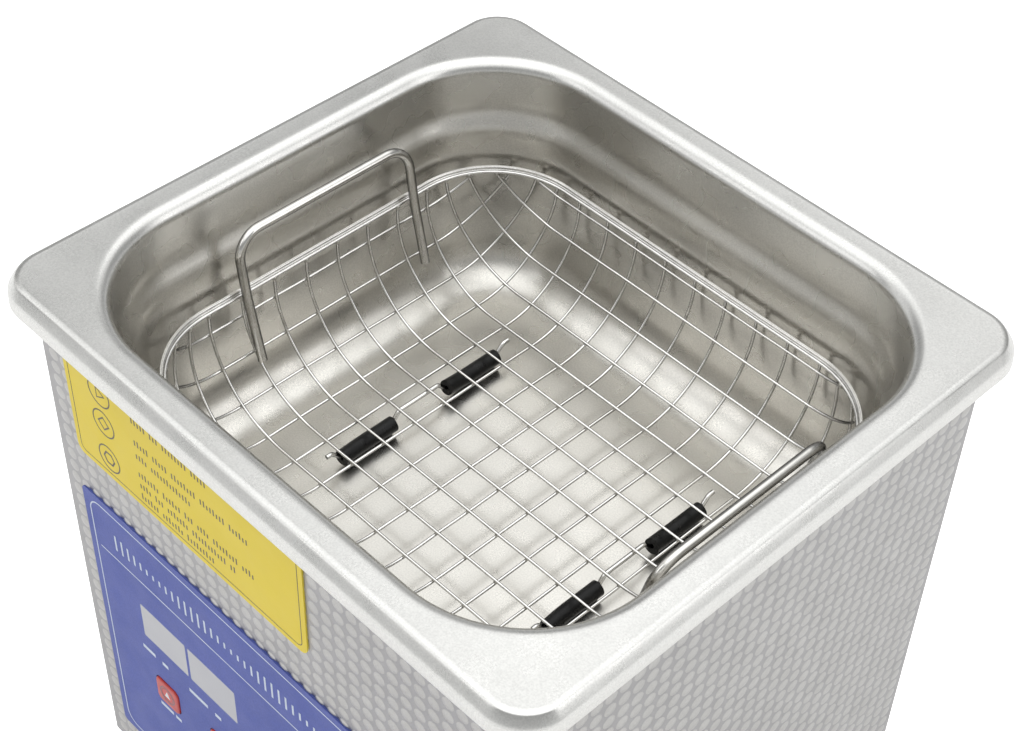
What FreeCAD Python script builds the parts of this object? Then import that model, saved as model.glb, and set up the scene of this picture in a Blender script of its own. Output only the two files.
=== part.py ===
import FreeCAD, Part
import math
import os

V = FreeCAD.Vector
X, Y, Z = V(1, 0, 0), V(0, 1, 0), V(0, 0, 1)

# Overall (mm). Origin: centre of the footprint, on the surface the feet stand on.
RIM_TOP = 187.4
RIM_HALF = (88.0, 81.1)
RIM_CORNER = 12.0
SHEET = 0.8

# Tank: a 65 mm deep pan. Offsets are measured outwards from the wall just under the mouth.
MOUTH_HALF = (76.5, 70.3)
MOUTH_CORNER = 32.0
MOUTH_BEND = 3.5
TANK_DEPTH = 65.0
WALL_STEPS = [(-0.2, -9.0), (-0.4, -13.0), (-0.9, -14.4), (-2.0, -16.2), (-3.0, -18.2), (-3.5, -20.5)]
WALL_FOOT = (-6.3, -51.0)
FLOOR_BEND = 14.0
RIM_STEPS = [(3.2, 0.0), (2.4, -0.2), (1.9, -0.6), (0.8, -2.1), (0.35, -2.9), (0.15, -3.6), (0.0, -5.7)]
TANK_FLOOR = RIM_TOP - TANK_DEPTH
TANK_UNDER = TANK_FLOOR - SHEET

# Casing
CASE_HALF = (81.0, 74.05)
CASE_WALL = 0.7
CASE_BEND = 1.2
CASE_BOTTOM = 12.0
CASE_TOP = RIM_TOP - SHEET - 0.6
CASE_IN = (CASE_HALF[0] - CASE_WALL, CASE_HALF[1] - CASE_WALL)
CASE_LIP = 1.0
FRONT = -CASE_HALF[1]
BACK = CASE_HALF[1]

# Base and feet
BASE_UNDER = 13.0
BASE_PLATE = 1.0
BASE_FLANGE = 11.0
BASE_GAP = 0.05
FOOT_AT = (62.0, 55.0)
FOOT_R = 10.0
SIDE_SCREW_Z = 19.0
SIDE_SCREW_Y = 50.0
BACK_SCREW_X = 55.0

# Control panel on the front face
PANEL_X = 73.0
PANEL_Z = (24.4, 123.0)
PANEL_CORNER = 1.5
PANEL_THICK = 0.6
LENS_Z = 86.5
LENS_H = 12.7
LENSES = {"set_temperature": (-45.15, 18.3), "actual_temperature": (-25.55, 18.7), "timer": (35.5, 38.0)}
BUTTON_SIZE = 9.2
BUTTON_CORNER = 1.6
BUTTON_GAP = 0.3
BUTTON_PROUD = 0.5
BUTTON_TRAVEL_GAP = 0.45
BUTTONS = {
    "button_temp_up": (-47.2, 61.1),
    "button_temp_down": (-24.3, 61.1),
    "button_time_up": (24.3, 61.1),
    "button_time_down": (47.2, 61.1),
    "button_heater": (-35.75, 38.5),
    "button_start": (35.75, 38.5),
}
LABEL_X = (-71.2, 14.7)
LABEL_Z = (137.2, 176.0)

# Control board behind the panel
BOARD_FACE = -65.0
BOARD_THICK = 1.6
BOARD_X = 66.0
BOARD_Z = (28.0, 106.0)
BOARD_POSTS = [(-61.0, 34.0), (61.0, 34.0), (-61.0, 100.0), (61.0, 100.0)]

# Basket: welded mesh bowl with a band round its rim
BASKET_AT = (0.15, 0.8)
MESH_WIRE = 0.4
MESH_FLOOR = RIM_TOP - 57.8
MESH_BEND = 26.0
MESH_FLAT = (43.15, 36.4)
MESH_RISE = 4.0
MESH_PITCH = 10.26
MESH_LAYER = 0.41
ALONG_Y = [-48.95 + MESH_PITCH * i for i in range(-3, 14)]
ALONG_X = [5.1 + MESH_PITCH * j for j in range(-8, 8)]
FRONT_WIRE = ALONG_X[4]
BAND_HIGH = 2.5
BAND_THICK = 1.0
BAND_Z = RIM_TOP - 28.4
HANDLE_R = 1.2
HANDLE_Y = (-25.0, 30.0)
FOOT_ROD_R = 0.6
FOOT_ROD_X = (-34.4, 38.6)
SLEEVE_R = 2.15
SLEEVE_Z = TANK_FLOOR + 0.2 + SLEEVE_R

# Generator board on the base, transducer under the tank
GEN_Z = 22.0
GEN_X = 56.0
GEN_Y = (-32.0, 48.0)
GEN_POSTS = [(-51.0, -27.0), (51.0, -27.0), (-51.0, 43.0), (51.0, 43.0)]
GEN_TOP = GEN_Z + 1.6

# Rear fittings
INLET_AT = (-48.0, 48.0)
SWITCH_AT = (5.0, 48.0)
FUSE_AT = (44.0, 48.0)
ROCKER_PIVOT = BACK - 2.55


def block(x0, x1, y0, y1, z0, z1):
    return Part.makeBox(x1 - x0, y1 - y0, z1 - z0, V(x0, y0, z0))


def rod(radius, length, base, axis=Z):
    return Part.makeCylinder(radius, length, base, axis)


def rounded(hx, hy, r, z):
    """Closed rounded rectangle in the plane at height z."""
    c = r * (1 - math.sqrt(0.5))
    lines = []
    for sx, sy in ((1, 1), (-1, 1), (-1, -1), (1, -1)):
        on_side = V(sx * hx, sy * (hy - r), z)
        on_end = V(sx * (hx - r), sy * hy, z)
        middle = V(sx * (hx - c), sy * (hy - c), z)
        first, last = (on_side, on_end) if sx * sy > 0 else (on_end, on_side)
        lines.append((first, middle, last))
    edges = []
    for k, (first, middle, last) in enumerate(lines):
        edges.append(Part.Arc(first, middle, last).toShape())
        edges.append(Part.makeLine(last, lines[(k + 1) % 4][0]))
    return Part.Wire(edges)


def slab(hx, hy, r, z0, z1):
    return Part.Face(rounded(hx, hy, r, z0)).extrude(V(0, 0, z1 - z0))


def front_slab(x, z, width, height, corner, y0, y1):
    """Rounded plate standing upright, its faces at y0 and y1."""
    plate = slab(width / 2, height / 2, corner, 0, y1 - y0)
    plate.rotate(V(0, 0, 0), X, -90)
    plate.translate(V(x, y0, z))
    return plate


def hexagon(across, height, base, axis=Z):
    points = []
    for k in range(7):
        a = math.radians(60 * k)
        points.append(V(across / math.sqrt(3) * math.cos(a), across / math.sqrt(3) * math.sin(a), 0))
    nut = Part.Face(Part.makePolygon(points)).extrude(V(0, 0, height))
    nut.Placement = FreeCAD.Placement(base, FreeCAD.Rotation(Z, axis))
    return nut


def arc_steps(first, last, count):
    return [math.radians(first + (last - first) * k / count) for k in range(count + 1)]


def skin(sections):
    """Solid through a stack of rounded rectangles given as (half x, half y, corner, z)."""
    return Part.makeLoft([rounded(*s) for s in sections], True, True)


def pan_solid(grow):
    """The pan's wet volume, or its outside when grown by the sheet thickness."""
    top = 1.0 if grow == 0 else -0.4
    bend = MOUTH_BEND - grow
    profile = [(MOUTH_BEND, top)]
    for a in arc_steps(0, 90, 6):
        profile.append((MOUTH_BEND - bend * math.sin(a), -MOUTH_BEND + bend * math.cos(a)))
    profile += [(o + grow, z) for o, z in WALL_STEPS]
    turn = FLOOR_BEND + grow
    for a in arc_steps(0, 90, 6):
        profile.append((WALL_FOOT[0] - FLOOR_BEND + turn * math.cos(a), WALL_FOOT[1] - turn * math.sin(a)))
    hx, hy = MOUTH_HALF
    return skin([(hx + o, hy + o, MOUTH_CORNER + o, RIM_TOP + z) for o, z in profile])


def tank():
    hx, hy = RIM_HALF
    outside = [(hx - i, hy - i, RIM_CORNER - i, RIM_TOP + z) for i, z in RIM_STEPS]
    inside = []
    for k, (i, z) in enumerate(RIM_STEPS):
        turn = math.radians(90 * k / (len(RIM_STEPS) - 1))
        shift = i + SHEET * math.sin(turn)
        inside.append((hx - shift, hy - shift, RIM_CORNER - shift, RIM_TOP + z - SHEET * math.cos(turn)))
    inside[-1] = (hx - SHEET, hy - SHEET, RIM_CORNER - SHEET, RIM_TOP - 6.5)
    rim = skin(outside).cut(skin(inside))
    return rim.fuse(pan_solid(SHEET)).cut(pan_solid(0)).removeSplitter()


def rim_seal():
    """Silicone bead squeezed between the casing's top edge and the tank."""
    hx, hy = CASE_HALF
    bead = slab(hx - 0.2, hy - 0.1, CASE_BEND, CASE_TOP, RIM_TOP - SHEET)
    bead = bead.cut(slab(CASE_IN[0] - CASE_LIP, CASE_IN[1] - CASE_LIP, 1.0, CASE_TOP - 1, RIM_TOP))
    return bead.cut(pan_solid(SHEET))


def casing():
    hx, hy = CASE_HALF
    body = slab(hx, hy, CASE_BEND, CASE_BOTTOM, CASE_TOP)
    body = body.cut(slab(CASE_IN[0], CASE_IN[1], CASE_BEND - CASE_WALL, 0, CASE_TOP - CASE_WALL))
    body = body.cut(slab(CASE_IN[0] - CASE_LIP, CASE_IN[1] - CASE_LIP, 1.0, 100, 200))
    holes = []
    for x, width in LENSES.values():
        holes.append(front_slab(x, LENS_Z, width - 2, LENS_H - 2, 0.8, FRONT - 1, FRONT + 2))
    for x, z in BUTTONS.values():
        holes.append(button_hole(x, z))
    x, z = INLET_AT
    holes.append(block(x - 13.8, x + 13.8, BACK - 2, BACK + 1, z - 10.3, z + 10.3))
    for side in (-20, 20):
        holes.append(rod(1.6, 4, V(x + side, BACK - 2, z), Y))
    x, z = SWITCH_AT
    holes.append(block(x - 6.8, x + 6.8, BACK - 2, BACK + 1, z - 9.8, z + 9.8))
    holes.append(rod(6.5, 4, V(FUSE_AT[0], BACK - 2, FUSE_AT[1]), Y))
    for base, axis in base_screw_places():
        holes.append(rod(1.6, 4, base - axis * 2, axis))
    for hole in holes:
        body = body.cut(hole)
    return body


def base_screw_places():
    """Outer ends of the holes that hold the casing to the base, with the direction out."""
    places = []
    for side in (-1, 1):
        for y in (-SIDE_SCREW_Y, SIDE_SCREW_Y):
            places.append((V(side * CASE_HALF[0], y, SIDE_SCREW_Z), X * side))
        places.append((V(side * BACK_SCREW_X, BACK, SIDE_SCREW_Z), Y))
    return places


def foot_places():
    return [V(sx * FOOT_AT[0], sy * FOOT_AT[1], 0) for sx in (-1, 1) for sy in (-1, 1)]


def base_plate():
    hx, hy = CASE_IN[0] - BASE_GAP, CASE_IN[1] - BASE_GAP
    top = BASE_UNDER + BASE_FLANGE
    tray = slab(hx, hy, 1.0, BASE_UNDER, top)
    tray = tray.cut(slab(hx - BASE_PLATE, hy - BASE_PLATE, 0.5, BASE_UNDER + BASE_PLATE, top + 1))
    for foot in foot_places():
        tray = tray.cut(rod(2.2, 4, foot + Z * (BASE_UNDER - 1)))
    for base, axis in base_screw_places():
        tray = tray.cut(rod(1.5, 5, base - axis * 4, axis))
    for side in (-1, 1):
        for k in range(8):
            y = -28 + 8 * k
            slot = slab(13, 1.5, 1.49, BASE_UNDER - 1, BASE_UNDER + 3)
            slot.translate(V(side * 20, y, 0))
            tray = tray.cut(slot)
    return tray


def rubber_feet():
    feet = []
    for at in foot_places():
        foot = Part.makeCone(FOOT_R - 1, FOOT_R, BASE_UNDER, at)
        foot = foot.cut(rod(4.5, 6, at)).cut(rod(2.1, 20, at))
        feet.append(foot)
    return feet


def foot_screws():
    return [rod(4, 2.6, at + Z * 3.4).fuse(rod(2, 13.5, at + Z * 6)) for at in foot_places()]


def foot_nuts():
    nuts = []
    for at in foot_places():
        nut = hexagon(7, 3.2, at + Z * (BASE_UNDER + BASE_PLATE))
        nuts.append(nut.cut(rod(2.02, 10, at + Z * 12)))
    return nuts


def pan_head_screw(seat, axis, head_r, head_h, shank_r, shank):
    """Screw whose head sits on the point 'seat' and points along axis."""
    head = rod(head_r, head_h, seat, axis)
    slot = Part.makeCone(0, head_r * 0.55, head_h * 0.7, seat + axis * (head_h * 0.3), axis)
    return head.cut(slot).fuse(rod(shank_r, shank, seat - axis * shank, axis))


def base_screws():
    return [pan_head_screw(at, axis, 2.8, 1.9, 1.48, 6) for at, axis in base_screw_places()]


def button_hole(x, z):
    size = BUTTON_SIZE + 2 * BUTTON_GAP
    return front_slab(x, z, size, size, BUTTON_CORNER + BUTTON_GAP, FRONT - 2, FRONT + 2)


def control_panel():
    z = sum(PANEL_Z) / 2
    height = PANEL_Z[1] - PANEL_Z[0]
    sheet = front_slab(0, z, 2 * PANEL_X, height, PANEL_CORNER, FRONT - PANEL_THICK, FRONT)
    for x, width in LENSES.values():
        sheet = sheet.cut(front_slab(x, LENS_Z, width, LENS_H, 0.4, FRONT - 2, FRONT + 1))
    for x, z in BUTTONS.values():
        sheet = sheet.cut(button_hole(x, z))
    return sheet


def lens(x, width):
    return front_slab(x, LENS_Z, width, LENS_H, 0.4, FRONT - PANEL_THICK, FRONT)


def display(x, width):
    return block(x - width / 2, x + width / 2, FRONT + 1.1, BOARD_FACE, LENS_Z - 6, LENS_Z + 6)


def warning_label():
    x = sum(LABEL_X) / 2
    z = sum(LABEL_Z) / 2
    return front_slab(x, z, LABEL_X[1] - LABEL_X[0], LABEL_Z[1] - LABEL_Z[0], 3, FRONT - 0.2, FRONT)


def button(x, z):
    face = FRONT - PANEL_THICK - BUTTON_PROUD
    behind = FRONT + CASE_WALL + 0.05
    cap = front_slab(x, z, BUTTON_SIZE, BUTTON_SIZE, BUTTON_CORNER, face, behind)
    flange = front_slab(x, z, BUTTON_SIZE + 2.2, BUTTON_SIZE + 2.2, 2, behind, behind + 0.8)
    stem_end = BOARD_FACE - 4.3 - BUTTON_TRAVEL_GAP
    stem = rod(1.4, stem_end - behind, V(x, behind, z), Y)
    return cap.fuse([flange, stem])


def tact_switches():
    made = []
    for x, z in BUTTONS.values():
        body = block(x - 3, x + 3, BOARD_FACE - 3.5, BOARD_FACE, z - 3, z + 3)
        made.append(body.fuse(rod(1.7, 1.0, V(x, BOARD_FACE - 4.3, z), Y)))
    return made


def control_board():
    board = block(-BOARD_X, BOARD_X, BOARD_FACE, BOARD_FACE + BOARD_THICK, BOARD_Z[0], BOARD_Z[1])
    for x, z in BOARD_POSTS:
        board = board.cut(rod(1.6, 5, V(x, BOARD_FACE - 1, z), Y))
    return board


def control_board_posts():
    start = FRONT + CASE_WALL
    posts = []
    for x, z in BOARD_POSTS:
        post = rod(2.8, BOARD_FACE - start, V(x, start, z), Y)
        posts.append(post.cut(rod(1.5, 20, V(x, start + 1.5, z), Y)))
    return posts


def control_board_screws():
    seat = BOARD_FACE + BOARD_THICK
    return [pan_head_screw(V(x, seat, z), Y, 2.8, 1.9, 1.48, 8) for x, z in BOARD_POSTS]


def controller_chip():
    return block(-12, 12, BOARD_FACE + BOARD_THICK, BOARD_FACE + BOARD_THICK + 3, 60, 68)


def generator_board():
    board = block(-GEN_X, GEN_X, GEN_Y[0], GEN_Y[1], GEN_Z, GEN_TOP)
    for x, y in GEN_POSTS:
        board = board.cut(rod(1.6, 5, V(x, y, GEN_Z - 1)))
    return board


def generator_posts():
    base = BASE_UNDER + BASE_PLATE
    posts = []
    for x, y in GEN_POSTS:
        posts.append(rod(3, GEN_Z - base, V(x, y, base)).cut(rod(1.5, 20, V(x, y, base + 1))))
    return posts


def generator_screws():
    return [pan_head_screw(V(x, y, GEN_TOP), Z, 2.8, 1.9, 1.48, 7.5) for x, y in GEN_POSTS]


def transformer_core():
    core = block(-42, -8, 4, 24, GEN_TOP, GEN_TOP + 28)
    for x in (-36, -20):
        core = core.cut(block(x, x + 6, 0, 30, GEN_TOP + 5, GEN_TOP + 23))
    return core


def transformer_coil():
    coil = block(-35.8, -14.2, 0, 28, GEN_TOP + 5.2, GEN_TOP + 22.8)
    coil = coil.cut(block(-30.1, -19.9, 3.9, 24.1, GEN_TOP, GEN_TOP + 30))
    for x0, x1 in ((-36, -30.1), (-19.9, -14)):
        coil = coil.fuse(block(x0 + 0.1, x1 - 0.1, 1, 27, GEN_TOP + 5.2, GEN_TOP + 22.8))
    return coil.removeSplitter()


def smoothing_capacitors():
    return [rod(7, 26, V(x, 36, GEN_TOP)) for x in (-4, 14, 32)]


def film_capacitors():
    return [block(4, 24, y, y + 8, GEN_TOP, GEN_TOP + 15) for y in (2, 14)]


def heat_sink():
    sink = block(-40, 12, -16, -13, GEN_TOP, GEN_TOP + 27)
    for k in range(9):
        x = -40 + k * 6.25
        sink = sink.fuse(block(x, x + 2, -13, -4, GEN_TOP, GEN_TOP + 27))
    return sink.removeSplitter()


def power_transistors():
    made = []
    for x in (-30, -8):
        body = block(x, x + 10, -20.5, -16, GEN_TOP + 6, GEN_TOP + 21)
        for pin in (2, 5, 8):
            body = body.fuse(block(x + pin - 0.4, x + pin + 0.4, -18.6, -17.8, GEN_TOP, GEN_TOP + 6.5))
        made.append(body)
    return made


def terminal_block():
    strip = block(34, 50, -10, 24, GEN_TOP, GEN_TOP + 11)
    for y in (-6, 2, 10, 18):
        strip = strip.cut(rod(2.2, 5, V(42, y + 1.5, GEN_TOP + 7)))
    return strip


def transducer_front():
    horn = Part.makeCone(19, 22.5, 28, V(0, 0, TANK_UNDER - 28))
    return horn.cut(rod(5.02, 15, V(0, 0, TANK_UNDER - 29)))


STACK = TANK_UNDER - 28


def piezo_rings():
    return [rod(19, 5, V(0, 0, z)).cut(rod(7.5, 9, V(0, 0, z - 1))) for z in (STACK - 5, STACK - 10.3)]


def electrodes():
    made = []
    for z, turn in ((STACK - 5.3, 0), (STACK - 10.6, -90)):
        disc = rod(18.5, 0.3, V(0, 0, z)).cut(rod(8, 2, V(0, 0, z - 1)))
        disc = disc.fuse(block(17, 25, -2, 2, z, z + 0.3)).removeSplitter()
        disc.rotate(V(0, 0, z), Z, turn)
        made.append(disc)
    return made


def transducer_back():
    mass = rod(19, 20, V(0, 0, STACK - 30.6))
    return mass.cut(rod(5.3, 30, V(0, 0, STACK - 35))).cut(rod(9, 6.01, V(0, 0, STACK - 30.61)))


def transducer_bolt():
    head = hexagon(13, 6, V(0, 0, STACK - 30.6))
    return head.fuse(rod(5, 37, V(0, 0, STACK - 24.6)))


def heater_pad():
    pad = slab(52, 45, 8, TANK_UNDER - 1.5, TANK_UNDER)
    pad = pad.cut(rod(24, 5, V(0, 0, TANK_UNDER - 3)))
    return pad.cut(rod(9, 5, V(38, 30, TANK_UNDER - 3)))


def temperature_sensor():
    can = rod(8, 6, V(38, 30, TANK_UNDER - 6))
    for dx in (-4, 4):
        can = can.fuse(block(38 + dx - 0.4, 38 + dx + 0.4, 28, 32, TANK_UNDER - 12, TANK_UNDER - 5.5))
    return can.removeSplitter()


def lead(points, radius=0.9):
    """One insulated wire through the given points."""
    curve = Part.BSplineCurve()
    curve.interpolate([V(*p) for p in points])
    path = Part.Wire([curve.toShape()])
    tangent = curve.tangent(curve.FirstParameter)[0]
    ring = Part.Wire([Part.Circle(V(*points[0]), tangent, radius).toShape()])
    return path.makePipeShell([ring], True, False)


def wiring():
    top = GEN_TOP + 11
    ends = [
        [(24, 0, STACK - 6.4), (27, 1, 70), (37, 4, 50), (42, 3.5, top)],
        [(0, -24, STACK - 11.6), (6, -25, 64), (34, -14, 48), (42, -4.5, top)],
        [(-55, 42.9, 46), (-48, 38, 60), (-10, 40, 66), (4, 42, 60), (5, 49, 54)],
        [(5, 49, 42), (8, 45.5, 54), (30, 42, 66), (40, 45, 58), (42, 51, 48)],
        [(46, 51, 48), (49, 42, 52), (48, 22, 46), (42, 11.5, top)],
        [(34, 30, TANK_UNDER - 12.9), (45, 18, 90), (50, -30, 80), (52, -55, 84), (52, -62.2, 84)],
        [(42, 30, TANK_UNDER - 12.9), (54, 16, 92), (57, -30, 86), (57, -55, 90), (57, -62.2, 90)],
    ]
    return [lead(points) for points in ends]


def power_inlet():
    x, z = INLET_AT
    body = block(x - 13.5, x + 13.5, 52, BACK, z - 10, z + 10)
    body = body.fuse(block(x - 24, x + 24, BACK, BACK + 2.5, z - 11.2, z + 11.2)).removeSplitter()
    body = body.cut(block(x - 12.2, x + 12.2, 60.5, BACK + 5, z - 8.2, z + 8.2))
    for px, pz in inlet_pin_places():
        body = body.cut(block(px - 1, px + 1, 50, 62, pz - 2, pz + 2))
    for side in (-20, 20):
        body = body.cut(rod(1.6, 6, V(x + side, BACK - 1, z), Y))
    return body


def inlet_pin_places():
    x, z = INLET_AT
    return [(x - 7, z - 2), (x + 7, z - 2), (x, z + 2)]


def inlet_pins():
    return [block(x - 1, x + 1, 44, 74, z - 2, z + 2) for x, z in inlet_pin_places()]


def inlet_screws():
    x, z = INLET_AT
    return [pan_head_screw(V(x + s, BACK + 2.5, z), Y, 2.8, 1.9, 1.48, 8) for s in (-20, 20)]


def inlet_nuts():
    x, z = INLET_AT
    nuts = []
    for s in (-20, 20):
        nut = hexagon(5.5, 2.4, V(x + s, BACK - CASE_WALL - 2.4, z), Y)
        nuts.append(nut.cut(rod(1.5, 6, V(x + s, BACK - 5, z), Y)))
    return nuts


def switch_frame():
    x, z = SWITCH_AT
    frame = block(x - 6.5, x + 6.5, 58, BACK, z - 9.5, z + 9.5)
    frame = frame.fuse(block(x - 7.5, x + 7.5, BACK, BACK + 2, z - 10.8, z + 10.8)).removeSplitter()
    frame = frame.cut(block(x - 5.9, x + 5.9, 64, BACK + 5, z - 8.9, z + 8.9))
    return frame.cut(rod(1.05, 12.7, V(x - 6.35, ROCKER_PIVOT, z), X))


def switch_rocker():
    x, z = SWITCH_AT
    outline = [(4.59, -7.9), (3.2, 0), (4.59, 7.9), (-2.5, 7.4), (-2.5, -7.4), (4.59, -7.9)]
    points = [V(x - 5.5, ROCKER_PIVOT + b, z + a) for b, a in outline]
    rocker = Part.Face(Part.makePolygon(points)).extrude(X * 11)
    rocker = rocker.fuse(rod(1.0, 12.5, V(x - 6.25, ROCKER_PIVOT, z), X))
    rocker.rotate(V(x, ROCKER_PIVOT, z), X, -10)
    return rocker


def switch_terminals():
    x, z = SWITCH_AT
    return [block(x - 3, x + 3, 50, 58, z + dz - 0.4, z + dz + 0.4) for dz in (-6, 0, 6)]


def fuse_holder():
    x, z = FUSE_AT
    body = rod(6.2, BACK - 52, V(x, 52, z), Y).fuse(rod(7.5, 1.5, V(x, BACK, z), Y))
    return body.cut(rod(4.2, 40, V(x, 56, z), Y))


def fuse_cap():
    x, z = FUSE_AT
    cap = rod(6, 3.6, V(x, BACK + 1.5, z), Y).fuse(rod(4.15, 8, V(x, BACK - 6.5, z), Y))
    return cap.cut(block(x - 4, x + 4, BACK + 4.1, BACK + 6, z - 0.6, z + 0.6))


def fuse():
    x, z = FUSE_AT
    return rod(2.6, 10, V(x, 57, z), Y)


def mesh_point(u, v, out):
    """Point of the bowl for flat mesh position (u, v), moved outwards from the middle layer."""
    du = max(abs(u) - MESH_FLAT[0], 0)
    dv = max(abs(v) - MESH_FLAT[1], 0)
    run = math.hypot(du, dv)
    if run < 1e-6:
        return V(BASKET_AT[0] + u, BASKET_AT[1] + v, MESH_FLOOR - out)
    turn = min(run / MESH_BEND, math.pi / 2)
    reach = (MESH_BEND + out) * math.sin(turn)
    height = MESH_BEND - (MESH_BEND + out) * math.cos(turn) + run - turn * MESH_BEND
    x = math.copysign(min(abs(u), MESH_FLAT[0]) + reach * du / run, u)
    y = math.copysign(min(abs(v), MESH_FLAT[1]) + reach * dv / run, v)
    return V(BASKET_AT[0] + x, BASKET_AT[1] + y, MESH_FLOOR + height)


def turned_circle(radius, at, turn):
    ring = Part.Wire([Part.Circle(V(0, 0, 0), Z, radius).toShape()])
    ring.Placement = FreeCAD.Placement(at, turn)
    return ring


def mesh_wire(across, flat_along, flat_across, place):
    """One mesh wire that lies 'across' from the middle and runs up both walls to the rim."""
    limit = MESH_BEND * math.pi / 2 + MESH_RISE
    side = max(abs(across) - flat_across, 0)
    climb = math.sqrt(limit ** 2 - side ** 2)
    steps = [flat_along + climb * k / 14 for k in range(15)]
    points = [place(t, across) for t in [-t for t in reversed(steps)] + steps]
    turn = FreeCAD.Rotation(Z, points[1] - points[0])
    rings = [turned_circle(MESH_WIRE, points[0], turn)]
    for before, at, after in zip(points, points[1:], points[2:]):
        along = (at - before).normalize() + (after - at).normalize()
        turn = FreeCAD.Rotation(turn.multVec(Z), along).multiply(turn)
        rings.append(turned_circle(MESH_WIRE, at, turn))
    turn = FreeCAD.Rotation(turn.multVec(Z), points[-1] - points[-2]).multiply(turn)
    rings.append(turned_circle(MESH_WIRE, points[-1], turn))
    return Part.makeLoft(rings, True, True)


def long_wire(across):
    def place(t, across):
        return mesh_point(t, across, -MESH_LAYER)
    return mesh_wire(across, MESH_FLAT[0], MESH_FLAT[1], place)


def basket_mesh_long():
    return [long_wire(v) for v in ALONG_X if v != FRONT_WIRE]


def basket_mesh_front_wire():
    return long_wire(FRONT_WIRE)


def basket_mesh_cross():
    def place(t, across):
        return mesh_point(across, t, MESH_LAYER)
    return [mesh_wire(u, MESH_FLAT[1], MESH_FLAT[0], place) for u in ALONG_Y]


def rim_outline(out, z):
    reach = MESH_BEND + out
    wire = rounded(MESH_FLAT[0] + reach, MESH_FLAT[1] + reach, reach, z)
    wire.translate(V(BASKET_AT[0], BASKET_AT[1], 0))
    return wire


def basket_rim_band():
    inner = MESH_LAYER + MESH_WIRE
    low = BAND_Z - BAND_HIGH / 2
    band = Part.Face(rim_outline(inner + BAND_THICK, low)).extrude(Z * BAND_HIGH)
    return band.cut(Part.Face(rim_outline(inner, low - 1)).extrude(Z * (BAND_HIGH + 2)))


def basket_rim_wire():
    radius = 0.45
    path = rim_outline(-MESH_LAYER - MESH_WIRE - radius - 0.01, BAND_Z - 0.6)
    start = path.Edges[1].Vertexes[0].Point
    along = path.Edges[1].tangentAt(path.Edges[1].FirstParameter)
    path = Part.Wire(path.Edges[1:] + path.Edges[:1])
    ring = Part.Wire([Part.Circle(start, along, radius).toShape()])
    return path.makePipeShell([ring], True, False)


def bent_path(points, bend):
    """Path through the points with each inner corner rounded."""
    corners = [V(*p) for p in points]
    edges = []
    start = corners[0]
    for before, at, after in zip(corners, corners[1:], corners[2:]):
        a = (before - at).normalize()
        b = (after - at).normalize()
        half = a.getAngle(b) / 2
        trim = bend / math.tan(half)
        middle = (a + b).normalize()
        first = at + a * trim
        last = at + b * trim
        edges.append(Part.makeLine(start, first))
        edges.append(Part.Arc(first, at + middle * (bend / math.sin(half) - bend), last).toShape())
        start = last
    edges.append(Part.makeLine(start, corners[-1]))
    return Part.Wire(edges)


def bent_rod(points, bend, radius):
    path = bent_path(points, bend)
    along = (V(*points[1]) - V(*points[0])).normalize()
    ring = Part.Wire([Part.Circle(V(*points[0]), along, radius).toShape()])
    return path.makePipeShell([ring], True, False)


def handle(side, top_x):
    """Wire loop: legs inside the mesh, a knee at the rim, then up to the grip."""
    x0 = BASKET_AT[0]
    near, far = HANDLE_Y
    top = RIM_TOP - 10.8
    leg = [(x0 + side * 62.05, 141.0), (x0 + side * 66.15, 159.0), (x0 + side * top_x, top)]
    up = [(x, near, z) for x, z in leg]
    down = [(x, far, z) for x, z in reversed(leg)]
    return bent_rod(up + down, 7.0, HANDLE_R)


FOOT_LINE = [(-28.0, 0), (-26.4, 0), (-22.2, 1), (-7.6, 1), (-4.0, 0), (9.4, 0), (13.4, 1), (28.6, 1), (32.6, 0),
             (34.4, 0)]


def foot_rod_line():
    high = MESH_FLOOR + MESH_LAYER - MESH_WIRE - FOOT_ROD_R
    return [(y, SLEEVE_Z if low else high) for y, low in FOOT_LINE]


def foot_rods():
    line = foot_rod_line()
    return [bent_rod([(x, y, z) for y, z in line], 1.6, FOOT_ROD_R) for x in FOOT_ROD_X]


def foot_sleeves():
    made = []
    for x, core in zip(FOOT_ROD_X, foot_rods()):
        line = [V(x, y, z) for y, z in foot_rod_line()]
        for first in (1, 5):
            a, b, c, d = line[first:first + 4]
            points = [b + (a - b) * 0.45, b, c, c + (d - c) * 0.45]
            tube = bent_rod([(p.x, p.y, p.z) for p in points], 3.0, SLEEVE_R)
            made.append(tube.cut(core))
    return made


def save(name, shape):
    solids = shape if isinstance(shape, list) else [shape]
    whole = Part.makeCompound(solids) if len(solids) > 1 else solids[0]
    whole.exportStep("parts/" + name + ".step")


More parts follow.
